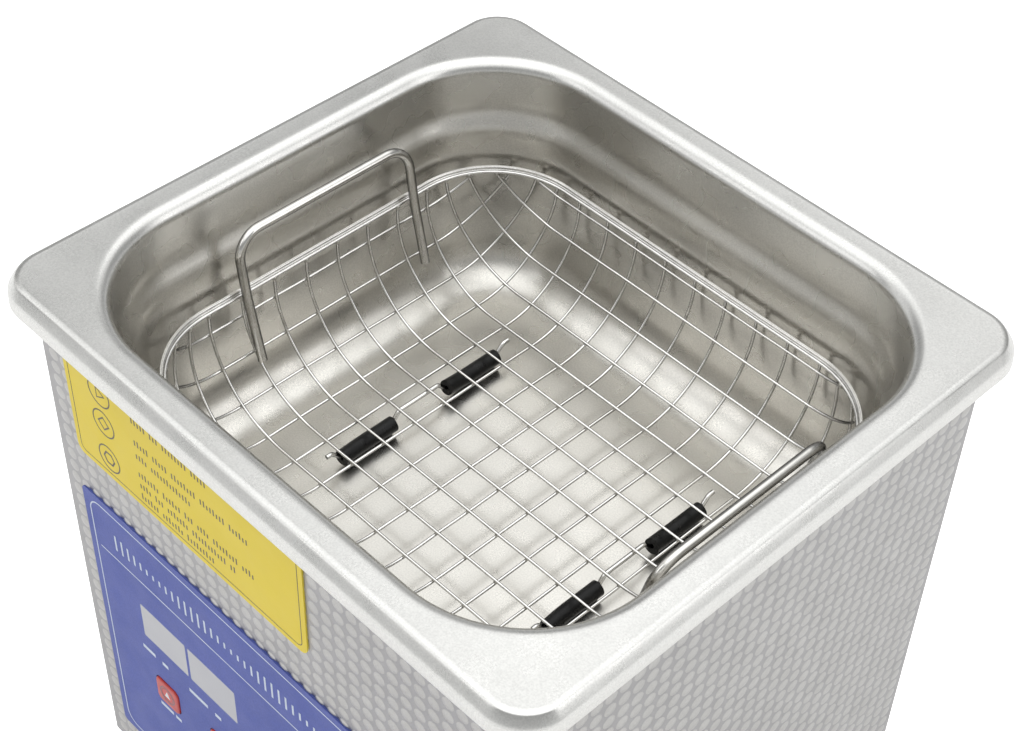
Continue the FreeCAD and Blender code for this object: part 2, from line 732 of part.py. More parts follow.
PIECES = {
    "tank": tank,
    "rim_seal": rim_seal,
    "casing": casing,
    "base_plate": base_plate,
    "base_screws": base_screws,
    "rubber_feet": rubber_feet,
    "foot_screws": foot_screws,
    "foot_nuts": foot_nuts,
    "control_panel": control_panel,
    "warning_label": warning_label,
    "tact_switches": tact_switches,
    "control_board": control_board,
    "control_board_posts": control_board_posts,
    "control_board_screws": control_board_screws,
    "controller_chip": controller_chip,
    "generator_board": generator_board,
    "generator_posts": generator_posts,
    "generator_screws": generator_screws,
    "transformer_core": transformer_core,
    "transformer_coil": transformer_coil,
    "smoothing_capacitors": smoothing_capacitors,
    "film_capacitors": film_capacitors,
    "heat_sink": heat_sink,
    "power_transistors": power_transistors,
    "terminal_block": terminal_block,
    "transducer_front_mass": transducer_front,
    "piezo_rings": piezo_rings,
    "transducer_electrodes": electrodes,
    "transducer_back_mass": transducer_back,
    "transducer_bolt": transducer_bolt,
    "heater_pad": heater_pad,
    "temperature_sensor": temperature_sensor,
    "wiring": wiring,
    "power_inlet": power_inlet,
    "inlet_pins": inlet_pins,
    "inlet_screws": inlet_screws,
    "inlet_nuts": inlet_nuts,
    "switch_frame": switch_frame,
    "switch_rocker": switch_rocker,
    "switch_terminals": switch_terminals,
    "fuse_holder": fuse_holder,
    "fuse_cap": fuse_cap,
    "fuse": fuse,
    "basket_mesh_long": basket_mesh_long,
    "basket_mesh_front_wire": basket_mesh_front_wire,
    "basket_mesh_cross": basket_mesh_cross,
    "basket_rim_band": basket_rim_band,
    "basket_rim_wire": basket_rim_wire,
    "basket_feet": foot_rods,
    "foot_sleeves": foot_sleeves,
}

for piece, build in PIECES.items():
    save(piece, build())
save("handle_left", handle(-1, 68.85))
save("handle_right", handle(1, 70.25))
for piece, (x, z) in BUTTONS.items():
    save(piece, button(x, z))
save("lens_displays", [lens(x, width) for x, width in LENSES.values()])
save("led_displays", [display(x, width - 1) for x, width in LENSES.values()])
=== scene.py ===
import math

import bmesh
import bpy
from mathutils import Matrix, Vector


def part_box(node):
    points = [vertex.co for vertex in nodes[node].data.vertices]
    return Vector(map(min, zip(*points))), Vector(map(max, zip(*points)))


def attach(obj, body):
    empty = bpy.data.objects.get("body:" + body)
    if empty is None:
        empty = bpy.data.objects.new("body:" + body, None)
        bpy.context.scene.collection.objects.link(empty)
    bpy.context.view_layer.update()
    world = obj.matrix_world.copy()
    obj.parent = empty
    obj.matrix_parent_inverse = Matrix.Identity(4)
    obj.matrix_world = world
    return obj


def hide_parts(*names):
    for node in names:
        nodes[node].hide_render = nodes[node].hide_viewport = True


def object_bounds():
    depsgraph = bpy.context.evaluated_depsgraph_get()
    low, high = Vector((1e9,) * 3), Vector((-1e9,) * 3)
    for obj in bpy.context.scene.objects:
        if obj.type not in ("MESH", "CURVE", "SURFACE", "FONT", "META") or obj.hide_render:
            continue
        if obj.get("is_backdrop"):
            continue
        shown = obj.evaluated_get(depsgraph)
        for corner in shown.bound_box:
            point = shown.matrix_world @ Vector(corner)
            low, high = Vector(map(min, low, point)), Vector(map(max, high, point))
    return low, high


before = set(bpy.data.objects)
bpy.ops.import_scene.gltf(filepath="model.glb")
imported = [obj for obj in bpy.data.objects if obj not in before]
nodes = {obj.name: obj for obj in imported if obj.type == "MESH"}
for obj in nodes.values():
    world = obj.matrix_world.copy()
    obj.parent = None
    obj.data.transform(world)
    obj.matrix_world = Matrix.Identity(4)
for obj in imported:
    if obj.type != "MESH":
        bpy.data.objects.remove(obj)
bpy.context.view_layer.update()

MM = 0.001

# ---------------------------------------------------------------------------------------------
# The tank: a square pan deep drawn from 0.8 mm stainless sheet and satin polished.
# Its flat rim is pressed down all round into a skirt that hangs over the top of the casing.
# The wall steps in at a shoulder, leans in a little and turns into the floor on a wide radius.

RIM_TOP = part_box("tank")[1].z / MM
SHEET = 0.8
MOUTH = (76.5, 70.3, 32.0)
RIM = (88.0, 81.1, 12.0)
MOUTH_BEND = 3.5
FLOOR_BEND = 14.0
WALL_FOOT = (-6.3, -51.0)
SHOULDER = [(-6.1, -49.2), (-5.05, -37.2), (-4.4, -29.8), (-4.05, -25.8), (-3.86, -23.6), (-3.72, -22.1),
            (-3.5, -20.7), (-3.12, -19.2), (-2.52, -17.7), (-1.8, -16.2), (-1.15, -14.7), (-0.7, -13.2),
            (-0.4, -11.4), (-0.2, -8.6), (-0.08, -5.8), (0.0, -3.6)]
RIM_EDGE = [(-3.9, 0.0), (-3.2, 0.0), (-2.4, -0.2), (-1.9, -0.6), (-0.8, -2.1), (-0.35, -2.9), (-0.15, -3.6),
            (0.0, -5.7)]
HEM = [(-0.12, -6.38), (-0.4, -6.5), (-0.68, -6.38)]
FLOOR_STEPS = (44, 30, 16, 6, 1)
# Painted shade: inside the pan the steel's colour is painted darker and warmer, starting 2 mm below the rim
# top and full from 16 mm down.
INSIDE_SHADE_FROM = RIM_TOP - 2
INSIDE_SHADE_FULL = RIM_TOP - 16


def rounded_ring(half_x, half_y, corner, z, steps=20):
    """Points round a rounded rectangle, anticlockwise, given in millimetres."""
    points = []
    for turn, (sx, sy) in enumerate(((1, 1), (-1, 1), (-1, -1), (1, -1))):
        for k in range(steps + 1):
            a = math.pi / 2 * (turn + k / steps)
            x = sx * (half_x - corner) + corner * math.cos(a)
            y = sy * (half_y - corner) + corner * math.sin(a)
            points.append(Vector((x, y, z)) * MM)
    return points


def smooth_line(points, steps=4):
    """Curve that passes through every point of a profile."""
    line = [points[0]]
    for k in range(len(points) - 1):
        p0, p1, p2, p3 = (Vector(points[min(max(k + d, 0), len(points) - 1)]) for d in (-1, 0, 1, 2))
        for s in range(1, steps + 1):
            t = s / steps
            bend = 2 * p1 + (p2 - p0) * t + (2 * p0 - 5 * p1 + 4 * p2 - p3) * t ** 2
            line.append(tuple((bend + (3 * p1 - p0 - 3 * p2 + p3) * t ** 3) / 2))
    return line


def arc(centre, radius, first, last, steps):
    """Profile points on a circle, its angles in degrees."""
    angles = [math.radians(first + (last - first) * k / steps) for k in range(steps + 1)]
    return [(centre[0] + radius * math.cos(a), centre[1] + radius * math.sin(a)) for a in angles]


def new_piece(name, bm, sharp=35.0):
    """Object from a bmesh, its faces turned outwards and smooth up to the given angle."""
    bmesh.ops.recalc_face_normals(bm, faces=bm.faces)
    mesh = bpy.data.meshes.new(name)
    bm.to_mesh(mesh)
    bm.free()
    mesh.shade_smooth()
    mesh.set_sharp_from_angle(angle=math.radians(sharp))
    piece = bpy.data.objects.new(name, mesh)
    bpy.context.scene.collection.objects.link(piece)
    return piece


def skin_rings(bm, rings, closed=False):
    """Skin that joins each ring of points to the next, shut at the ends or on itself."""
    loops = [[bm.verts.new(p) for p in ring] for ring in rings]
    following = loops[1:] + loops[:1] if closed else loops[1:]
    for here, there in zip(loops, following):
        for k in range(len(here)):
            j = (k + 1) % len(here)
            bm.faces.new((here[k], here[j], there[j], there[k]))
    if not closed:
        bm.faces.new(list(reversed(loops[0])))
        bm.faces.new(loops[-1])


def under_side(profile, thickness):
    """The other face of a sheet whose first face follows the profile."""
    made = []
    for k, (family, x, z) in enumerate(profile):
        _, x0, z0 = profile[max(k - 1, 0)]
        _, x1, z1 = profile[min(k + 1, len(profile) - 1)]
        if profile[max(k - 1, 0)][0] != family or profile[min(k + 1, len(profile) - 1)][0] != family:
            x0, z0, x1, z1 = 0, 0, 1, 0
        along = Vector((x1 - x0, z1 - z0)).normalized()
        made.append((family, x + along.y * thickness, z - along.x * thickness))
    return made


def tank_profile():
    """The pan's wet face from the middle of the floor, up the wall, over the mouth and down the skirt."""
    bend_at = (WALL_FOOT[0] - FLOOR_BEND, WALL_FOOT[1])
    floor = [(bend_at[0] - d, bend_at[1] - FLOOR_BEND) for d in FLOOR_STEPS]
    wall = floor + arc(bend_at, FLOOR_BEND, -90, 0, 14) + smooth_line(SHOULDER, 4)
    wall += arc((MOUTH_BEND, -MOUTH_BEND), MOUTH_BEND, 176, 90, 11) + [(MOUTH_BEND + 0.7, 0)]
    skirt = smooth_line(RIM_EDGE, 4) + [(0.0, -6.1)]
    return [(MOUTH, x, z) for x, z in wall] + [(RIM, x, z) for x, z in skirt]


profile = tank_profile()
hem = [(RIM, x, z) for x, z in HEM]
rings = []
for (half_x, half_y, corner), x, z in profile + hem + list(reversed(under_side(profile, SHEET))):
    rings.append(rounded_ring(half_x + x, half_y + x, max(corner + x, 1.0), RIM_TOP + z))
bm = bmesh.new()
skin_rings(bm, rings)
tank = new_piece("tank_pan", bm, 60)


def group(name, inputs, outputs):
    """Empty shader node group with its sockets, and the nodes that carry them."""
    tree = bpy.data.node_groups.new(name, "ShaderNodeTree")
    for label, kind, value in inputs:
        socket = tree.interface.new_socket(label, in_out="INPUT", socket_type="NodeSocket" + kind)
        socket.default_value = value
    for label, kind in outputs:
        tree.interface.new_socket(label, in_out="OUTPUT", socket_type="NodeSocket" + kind)
    return tree, tree.nodes.new("NodeGroupInput"), tree.nodes.new("NodeGroupOutput")


def linked(tree, kind, values=(), **settings):
    """Node with its settings made and its inputs set or fed, by index or by name."""
    node = tree.nodes.new(kind)
    for key, value in settings.items():
        setattr(node, key, value)
    for key, value in dict(values).items():
        if isinstance(value, bpy.types.NodeSocket):
            tree.links.new(value, node.inputs[key])
        else:
            node.inputs[key].default_value = value
    return node


def mottle_group():
    """Cloudy value between Low and High, its patches Size millimetres across and stretched by Stretch."""
    sockets = [("Size", "Float", 1.0), ("Low", "Float", 0.0), ("High", "Float", 1.0),
               ("Stretch", "Vector", (1, 1, 1)), ("Detail", "Float", 2.0)]
    tree, given, out = group("mottle", sockets, [("Value", "Float")])
    place = linked(tree, "ShaderNodeTexCoord")
    per_metre = linked(tree, "ShaderNodeMath", {0: 1 / MM, 1: given.outputs["Size"]}, operation="DIVIDE")
    even = linked(tree, "ShaderNodeVectorMath", {0: place.outputs["Object"], 1: given.outputs["Stretch"]},
                  operation="MULTIPLY")
    noise = linked(tree, "ShaderNodeTexNoise", {"Vector": even.outputs[0], "Scale": per_metre.outputs[0],
                                                "Detail": given.outputs["Detail"]})
    spread = linked(tree, "ShaderNodeMapRange", {"Value": noise.outputs["Fac"], "From Min": 0.2,
                                                 "From Max": 0.8, "To Min": given.outputs["Low"],
                                                 "To Max": given.outputs["High"]},
                    interpolation_type="SMOOTHSTEP")
    tree.links.new(spread.outputs["Result"], out.inputs["Value"])
    return tree


mottle_tree = mottle_group()


def mottle(tree, size, low=0.0, high=1.0, stretch=(1, 1, 1), detail=2.0):
    """Output of a mottle node with these settings."""
    values = {"Size": size, "Low": low, "High": high, "Stretch": stretch, "Detail": detail}
    return linked(tree, "ShaderNodeGroup", values, node_tree=mottle_tree).outputs["Value"]


def finish(name, colour, shade, metallic=0.0, rough=(0.3, 0.4), patch=6.0, grain=0.3, depth=0.02, wave=0.0,
           stretch=(1, 1, 1), coat=0.0, specular=0.5, fleck=0.0, edge=0.0):
    """Material whose colour and gloss drift in patches, over a fine grain and a slow unevenness of the face.

    The grain also darkens the colour by up to fleck, and edge paints shade into it where the face turns
    away, standing in for the dark reflection along a round wire's sides.
    """
    material = bpy.data.materials.new(name)
    material.use_nodes = True
    tree = material.node_tree
    shader = tree.nodes["Principled BSDF"]
    shader.inputs["Metallic"].default_value = metallic
    shader.inputs["Coat Weight"].default_value = coat
    shader.inputs["Specular IOR Level"].default_value = specular
    tint = linked(tree, "ShaderNodeMix", {"Factor": mottle(tree, patch, stretch=stretch)}, data_type="RGBA")
    tint.inputs[6].default_value = (*colour, 1)
    tint.inputs[7].default_value = (*shade, 1)
    dim = mottle(tree, grain, 1.0 + fleck, 1.0 - fleck, stretch)
    # Painted shade: the colour is darkened towards faces turned away from the view, for the dark reflection
    # along a wire's sides.
    if edge:
        facing = linked(tree, "ShaderNodeLayerWeight", {"Blend": 0.5})
        turned = linked(tree, "ShaderNodeMapRange", {"Value": facing.outputs["Facing"], "From Min": 0.2,
                                                     "From Max": 0.7, "To Min": 1.0, "To Max": 1.0 - edge},
                        interpolation_type="SMOOTHSTEP")
        both = linked(tree, "ShaderNodeMath", {0: dim, 1: turned.outputs["Result"]}, operation="MULTIPLY")
        dim = both.outputs[0]
    shaded = linked(tree, "ShaderNodeVectorMath", {0: tint.outputs[2], "Scale": dim}, operation="SCALE")
    tree.links.new(shaded.outputs[0], shader.inputs["Base Color"])
    tree.links.new(mottle(tree, patch * 0.6, rough[0], rough[1], stretch, 1.0), shader.inputs["Roughness"])
    bump = linked(tree, "ShaderNodeBump", {"Height": mottle(tree, grain if depth else 60.0, stretch=stretch),
                                           "Strength": 1.0, "Distance": depth * MM})
    if wave:
        slow = linked(tree, "ShaderNodeBump", {"Height": mottle(tree, 22.0, detail=1.0), "Strength": 1.0,
                                               "Distance": wave * MM})
        tree.links.new(slow.outputs["Normal"], bump.inputs["Normal"])
    tree.links.new(bump.outputs["Normal"], shader.inputs["Normal"])
    return material


def dress(piece, material):
    """Puts the material on a piece, in each slot it has, or in a new slot if it has none."""
    if piece.material_slots:
        for place in piece.material_slots:
            place.material = material
    else:
        piece.data.materials.append(material)


def stand_for(piece, body, slot, material, *replaced):
    """Dresses a finished piece and lets it ride on its body in place of CAD nodes."""
    dress(piece, material)
    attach(piece, body)
    if replaced:
        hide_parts(*replaced)


satin_steel = finish("satin steel", (0.74, 0.735, 0.715), (0.71, 0.705, 0.685), 1.0, (0.25, 0.31),
                     patch=14.0, grain=0.4, depth=0.0, wave=0.02, fleck=0.085)
steel_tree = satin_steel.node_tree
steel_shader = steel_tree.nodes["Principled BSDF"]
coordinates = linked(steel_tree, "ShaderNodeTexCoord")
place = linked(steel_tree, "ShaderNodeSeparateXYZ", {0: coordinates.outputs["Object"]})
# Painted shade inside the pan: a mask by height multiplies the steel's colour by a warm grey below the rim.
inside_shade_mask = linked(steel_tree, "ShaderNodeMapRange", {"Value": place.outputs["Z"], "From Min": INSIDE_SHADE_FULL * MM,
                                                  "From Max": INSIDE_SHADE_FROM * MM, "To Min": 1.0, "To Max": 0.0})
inside_shade = linked(steel_tree, "ShaderNodeMix", {"Factor": inside_shade_mask.outputs["Result"]}, data_type="RGBA",
               blend_type="MULTIPLY")
inside_shade.inputs[7].default_value = (0.985, 0.965, 0.93, 1)
steel_tree.links.new(steel_shader.inputs["Base Color"].links[0].from_socket, inside_shade.inputs[6])
steel_tree.links.new(inside_shade.outputs[2], steel_shader.inputs["Base Color"])
stand_for(tank, "housing", "tank_steel", satin_steel, "tank")

# ---------------------------------------------------------------------------------------------
# The rim seal: a bead of white silicone, squeezed out of a gun on to the casing's top edge,
# that the pan is bedded on. It can only be seen from below, in the shade of the skirt.

silicone = finish("white silicone", (0.78, 0.78, 0.76), (0.7, 0.7, 0.68), 0.0, (0.4, 0.55), 5.0, 1.5, 0.05)
dress(nodes["rim_seal"], silicone)

# ---------------------------------------------------------------------------------------------
# The casing: a sleeve folded from 0.7 mm stainless sheet that was rolled with a pattern of round
# pillows in a square grid. Its top edge is turned in under the pan, and screws hold it to the base.

PILLOW_PITCH = 4.24
PILLOW_RADIUS = 2.02
PILLOW_HEIGHT = 0.3
PILLOW_SINK = 0.08
PILLOW_ROWS = 40
PILLOW_FIRST_ROW = 16.7
CASE_HALF = (81.0, 74.05)


def tree_with(name, inputs):
    """Empty geometry node tree with a geometry input and output and the named inputs."""
    tree = bpy.data.node_groups.new(name, "GeometryNodeTree")
    tree.interface.new_socket("Geometry", in_out="INPUT", socket_type="NodeSocketGeometry")
    for label, kind in inputs:
        tree.interface.new_socket(label, in_out="INPUT", socket_type="NodeSocket" + kind)
    tree.interface.new_socket("Geometry", in_out="OUTPUT", socket_type="NodeSocketGeometry")
    return tree, tree.nodes.new("NodeGroupInput"), tree.nodes.new("NodeGroupOutput")


def realized(name, tree, source, values):
    """Plain mesh object of what the tree makes from the source mesh, which is then removed."""
    carrier = bpy.data.objects.new(name + "_source", source)
    bpy.context.scene.collection.objects.link(carrier)
    modifier = carrier.modifiers.new("make", "NODES")
    modifier.node_group = tree
    for item in tree.interface.items_tree:
        if item.item_type == "SOCKET" and item.in_out == "INPUT" and item.name in values:
            modifier[item.identifier] = values[item.name]
    depsgraph = bpy.context.evaluated_depsgraph_get()
    mesh = bpy.data.meshes.new_from_object(carrier.evaluated_get(depsgraph))
    mesh.name = name
    bpy.data.objects.remove(carrier)
    bpy.data.meshes.remove(source)
    piece = bpy.data.objects.new(name, mesh)
    bpy.context.scene.collection.objects.link(piece)
    return piece


def pillow_tree():
    """A field of pillows: a low round dome on every point of a grid, turned to face out of its wall."""
    tree, given, out = tree_with("pillow field", [
        ("Columns", "Int"), ("Rows", "Int"), ("Pitch", "Float"), ("Radius", "Float"), ("Height", "Float"),
        ("Sink", "Float"), ("Centre", "Vector"), ("Turn", "Vector"), ("Material", "Material")])

    def maths(operation, *terms):
        return linked(tree, "ShaderNodeMath", dict(enumerate(terms)), operation=operation).outputs[0]

    width = maths("MULTIPLY", maths("SUBTRACT", given.outputs["Columns"], 1.0), given.outputs["Pitch"])
    height = maths("MULTIPLY", maths("SUBTRACT", given.outputs["Rows"], 1.0), given.outputs["Pitch"])
    grid = linked(tree, "GeometryNodeMeshGrid", {"Size X": width, "Size Y": height,
                                                 "Vertices X": given.outputs["Columns"],
                                                 "Vertices Y": given.outputs["Rows"]})
    cone = linked(tree, "GeometryNodeMeshCone", {"Vertices": 16, "Side Segments": 3, "Radius Top": 0.0,
                                                 "Radius Bottom": given.outputs["Radius"],
                                                 "Depth": given.outputs["Height"]}, fill_type="NONE")
    at = linked(tree, "ShaderNodeSeparateXYZ", {0: linked(tree, "GeometryNodeInputPosition").outputs[0]})
    reach = maths("DIVIDE", maths("SQRT", maths("ADD", maths("MULTIPLY", at.outputs[0], at.outputs[0]),
                                                maths("MULTIPLY", at.outputs[1], at.outputs[1]))),
                  given.outputs["Radius"])
    crown = maths("SUBTRACT", 1.0, maths("POWER", reach, 2.4))
    rise = maths("SUBTRACT", maths("MULTIPLY", crown, maths("ADD", given.outputs["Height"],
                                                            given.outputs["Sink"])), given.outputs["Sink"])
    place = linked(tree, "ShaderNodeCombineXYZ", {0: at.outputs[0], 1: at.outputs[1], 2: rise})
    dome = linked(tree, "GeometryNodeSetPosition", {"Geometry": cone.outputs["Mesh"],
                                                    "Position": place.outputs[0]})
    field = linked(tree, "GeometryNodeInstanceOnPoints", {"Points": grid.outputs["Mesh"],
                                                          "Instance": dome.outputs[0]})
    real = linked(tree, "GeometryNodeRealizeInstances", {0: field.outputs[0]})
    turned = linked(tree, "GeometryNodeTransform", {"Geometry": real.outputs[0],
                                                    "Translation": given.outputs["Centre"],
                                                    "Rotation": given.outputs["Turn"]})
    soft = linked(tree, "GeometryNodeSetShadeSmooth", {0: turned.outputs[0]})
    painted = linked(tree, "GeometryNodeSetMaterial", {"Geometry": soft.outputs[0],
                                                       "Material": given.outputs["Material"]})
    tree.links.new(painted.outputs[0], out.inputs[0])
    return tree


# Painted light and shade: one rolled sheet in two colours, the flat ground between the pillows painted
# darker as shade and the pillows painted lighter as their highlight.
ground_steel_painted_shade = finish("rolled sheet ground painted shade", (0.40, 0.392, 0.395), (0.37, 0.362, 0.365), 1.0, (0.36, 0.44),
                      patch=7.0, grain=0.3, depth=0.008, fleck=0.05)
pillow_steel_painted_light = finish("rolled sheet pillows painted light", (0.51, 0.50, 0.488), (0.475, 0.465, 0.453), 1.0, (0.34, 0.42),
                      patch=7.0, grain=0.3, depth=0.008, fleck=0.05)
dress(nodes["casing"], ground_steel_painted_shade)
pillow_field = pillow_tree()
WALLS = [("front", 37, (0.36, -CASE_HALF[1]), 0), ("right", 34, (CASE_HALF[0], -0.12), 90),
         ("back", 37, (-0.36, CASE_HALF[1]), 180), ("left", 34, (-CASE_HALF[0], 0.12), 270)]
middle_row = PILLOW_FIRST_ROW + PILLOW_PITCH * (PILLOW_ROWS - 1) / 2
for side, columns, (x, y), heading in WALLS:
    pillows = realized("casing_pillows_" + side, pillow_field, bpy.data.meshes.new("none"), {
        "Columns": columns, "Rows": PILLOW_ROWS, "Pitch": PILLOW_PITCH * MM, "Radius": PILLOW_RADIUS * MM,
        "Height": PILLOW_HEIGHT * MM, "Sink": PILLOW_SINK * MM,
        "Centre": Vector((x, y, middle_row)) * MM, "Turn": (math.radians(90), 0, math.radians(heading)),
        "Material": pillow_steel_painted_light})
    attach(pillows, "housing")

# ---------------------------------------------------------------------------------------------
# The base: a tray of plain steel sheet with vent slots, four moulded rubber feet bolted through
# it with nuts, and the plated screws that hold the casing to the tray's upturned edge.


def softened(name, node, bevel, sharp=30.0):
    """Copy of a CAD piece with whole faces and its sharp edges rounded."""
    source = nodes[node].data
    bm = bmesh.new()
    seen = {}
    for polygon in source.polygons:
        corners = []
        for index in polygon.vertices:
            p = source.vertices[index].co
            key = tuple(round(c * 1e6) for c in p)
            if key not in seen:
                seen[key] = bm.verts.new(p)
            if seen[key] not in corners:
                corners.append(seen[key])
        if len(corners) > 2 and bm.faces.get(corners) is None:
            bm.faces.new(corners)
    bmesh.ops.recalc_face_normals(bm, faces=bm.faces)
    bmesh.ops.dissolve_limit(bm, angle_limit=math.radians(0.5), verts=bm.verts, edges=bm.edges)
    if bevel:
        keen = [e for e in bm.edges if e.is_manifold and e.calc_face_angle(0) > math.radians(sharp)]
        bmesh.ops.bevel(bm, geom=keen, offset=bevel * MM, segments=2, profile=0.6, affect="EDGES",
                        clamp_overlap=True)
    return new_piece(name, bm, sharp)


rubber = finish("black rubber", (0.018, 0.018, 0.018), (0.028, 0.028, 0.027), 0.0, (0.45, 0.62), 4.0, 0.4,
                0.03)
plated = finish("zinc plate", (0.72, 0.72, 0.70), (0.6, 0.6, 0.57), 1.0, (0.18, 0.32), 2.0, 0.4, 0.01)
base_sheet = finish("base sheet", (0.5, 0.5, 0.49), (0.43, 0.43, 0.42), 1.0, (0.34, 0.46), 12.0, 0.5, 0.01,
                    stretch=(0.15, 1, 1))
stand_for(softened("base_tray", "base_plate", 0.15), "housing", "base_steel", base_sheet, "base_plate")
stand_for(softened("feet_rubber", "rubber_feet", 0.7), "housing", "rubber", rubber, "rubber_feet")
stand_for(softened("screws_base", "base_screws", 0.25), "housing", "plated_steel", plated, "base_screws")
for node in ("foot_screws", "foot_nuts"):
    dress(nodes[node], plated)

# ---------------------------------------------------------------------------------------------
# The control panel: a sheet with a matt blue printed film, glued over the front of the casing.
# The white print is a thin line round the edge, a rule, and plain marks in place of wording.

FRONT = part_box("control_panel")[0].y / MM
PANEL = tuple(c / MM for c in (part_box("control_panel")[0].x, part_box("control_panel")[1].x,
                               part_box("control_panel")[0].z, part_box("control_panel")[1].z))
INK = 0.03
BORDER_INSET = 2.3
BORDER_LINE = 0.4
RULE_HALF = 68.6
RULE_Z = (103.2, 103.6)
HEADING_STROKES = 49
HEADING_LEFT = -61.2
HEADING_PITCH = 2.55
HEADING_Z = 110.3
STROKE_HALF = 0.33
WINDOW_MARKS = [(-56.0, 5.2, 2.4), (-36.5, 7.6, 2.4), (28.5, 6.5, 3.0)]
WINDOW_MARK_Z = (73.6, 74.9)
BUTTON_MARK_Z = (-8.1, -6.9)
BUTTONS = {
    "button_temp_up": (-47.2, 61.1),
    "button_temp_down": (-24.3, 61.1),
    "button_time_up": (24.3, 61.1),
    "button_time_down": (47.2, 61.1),
    "button_heater": (-35.75, 38.5),
    "button_start": (35.75, 38.5),
}


def flat_shape(bm, outline, hole=None):
    """Face, or band between an outline and a hole of as many points, in the plane of the front."""
    outer = [bm.verts.new((x * MM, 0, z * MM)) for x, z in outline]
    if hole is None:
        bm.faces.new(outer)
        return
    inner = [bm.verts.new((x * MM, 0, z * MM)) for x, z in hole]
    for k in range(len(outer)):
        j = (k + 1) % len(outer)
        bm.faces.new((outer[k], outer[j], inner[j], inner[k]))


def corner_points(x0, x1, z0, z1, corner, steps=8):
    """Outline of a rectangle with rounded corners."""
    centre = ((x0 + x1) / 2, (z0 + z1) / 2)
    ring = rounded_ring((x1 - x0) / 2, (z1 - z0) / 2, corner, 0, steps)
    return [(centre[0] + p.x / MM, centre[1] + p.y / MM) for p in ring]


def frame_line(bm, x0, x1, z0, z1, corner, width):
    """Line of the given width inside a rounded rectangle's edge."""
    inner = corner_points(x0 + width, x1 - width, z0 + width, z1 - width, corner - width)
    flat_shape(bm, corner_points(x0, x1, z0, z1, corner), inner)


def bar(bm, x0, x1, z0, z1):
    """Plain rectangle."""
    flat_shape(bm, [(x0, z0), (x1, z0), (x1, z1), (x0, z1)])


def circle_points(x, z, radius, steps=28):
    """Outline of a circle, or of a regular shape with few steps."""
    angles = [2 * math.pi * k / steps for k in range(steps)]
    return [(x + radius * math.cos(a), z + radius * math.sin(a)) for a in angles]


def printed(name, bm, y, thickness, body, slot, material):
    """Gives flat shapes their thickness towards the user and places them with their face at y."""
    made = bmesh.ops.extrude_face_region(bm, geom=bm.faces[:])
    moved = [v for v in made["geom"] if isinstance(v, bmesh.types.BMVert)]
    bmesh.ops.translate(bm, verts=moved, vec=(0, -thickness * MM, 0))
    bmesh.ops.translate(bm, verts=bm.verts[:], vec=(0, (y + thickness) * MM, 0))
    piece = new_piece(name, bm)
    stand_for(piece, body, slot, material)
    return piece


blue_film = finish("blue film", (0.088, 0.118, 0.40), (0.078, 0.106, 0.37), 0.0, (0.45, 0.55), 14.0, 0.4,
                   0.02, specular=0.3, fleck=0.1)
white_ink = finish("white ink", (0.62, 0.68, 0.78), (0.55, 0.61, 0.72), 0.0, (0.4, 0.5), 3.0, 0.3, 0.004)
dress(nodes["control_panel"], blue_film)
bm = bmesh.new()
x0, x1, z0, z1 = PANEL
frame_line(bm, x0 + BORDER_INSET, x1 - BORDER_INSET, z0 + BORDER_INSET, z1 - BORDER_INSET, 4.5, BORDER_LINE)
bar(bm, -RULE_HALF, RULE_HALF, *RULE_Z)
for k in range(HEADING_STROKES):
    swell = 0.5 + 0.5 * math.cos(2 * math.pi * (k - 24) / 12.0)
    x = HEADING_LEFT + k * HEADING_PITCH
    bar(bm, x - STROKE_HALF, x + STROKE_HALF, HEADING_Z - 0.9 - 1.9 * swell, HEADING_Z + 0.9 + 1.9 * swell)
for x, long, short in WINDOW_MARKS:
    bar(bm, x, x + long, *WINDOW_MARK_Z)
    bar(bm, x + long + 3.0, x + long + 3.0 + short, *WINDOW_MARK_Z)
for x, z in BUTTONS.values():
    under = [z + drop for drop in BUTTON_MARK_Z]
    bar(bm, x - 4.4, x + 1.0, *under)
    bar(bm, x + 2.0, x + 4.4, *under)
printed("panel_print", bm, FRONT - INK, INK, "housing", "panel_blue", white_ink)

# ---------------------------------------------------------------------------------------------
# The display windows: three pieces of pale, slightly clouded film set flush in the panel.
# The dark displays sit close behind them, on the control board.

window_film = finish("window film", (0.43, 0.43, 0.455), (0.39, 0.39, 0.42), 0.0, (0.16, 0.24), 18.0, 0.6,
                     0.004, coat=0.3)
dress(nodes["lens_displays"], window_film)

# ---------------------------------------------------------------------------------------------
# The six buttons: red moulded caps with a printed grey ring and a white sign. Each has a flange
# behind the casing that holds it in, and a stem that reaches a small switch on the board.

red_cap = finish("red cap", (0.56, 0.052, 0.042), (0.48, 0.042, 0.035), 0.0, (0.3, 0.4), 5.0, 0.25, 0.01)
ring_ink = finish("grey ring ink", (0.2, 0.17, 0.2), (0.16, 0.14, 0.17), 0.0, (0.4, 0.5), 3.0, 0.3, 0.004)
sign_ink = finish("sign ink", (0.75, 0.76, 0.78), (0.68, 0.69, 0.72), 0.0, (0.4, 0.5), 3.0, 0.3, 0.004)
CAP_HALF = 4.6
CAP_CORNER = 1.6
CAP_LENGTH = 1.85
CAP_EDGE = [(1.1, 0.0), (0.45, 0.0), (0.18, 0.06), (0.0, 0.3), (0.0, CAP_LENGTH)]
FLANGE_HALF = 5.7
FLANGE_THICK = 0.8
STEM_HALF = 1.4
RINGS = [(3.1, 2.75), (2.45, 2.3)]
SIGNS = {
    "button_temp_up": [(-1.2, -1.0), (1.2, -1.0), (0.0, 1.5)],
    "button_temp_down": [(-1.2, 1.0), (0.0, -1.5), (1.2, 1.0)],
    "button_time_up": [(-1.2, -1.0), (1.2, -1.0), (0.0, 1.5)],
    "button_time_down": [(-1.2, 1.0), (0.0, -1.5), (1.2, 1.0)],
    "button_heater": [(-0.45, -1.6), (0.45, -1.6), (0.45, 1.6), (-0.45, 1.6)],
    "button_start": [(-1.0, -1.4), (1.5, 0.0), (-1.0, 1.4)],
}
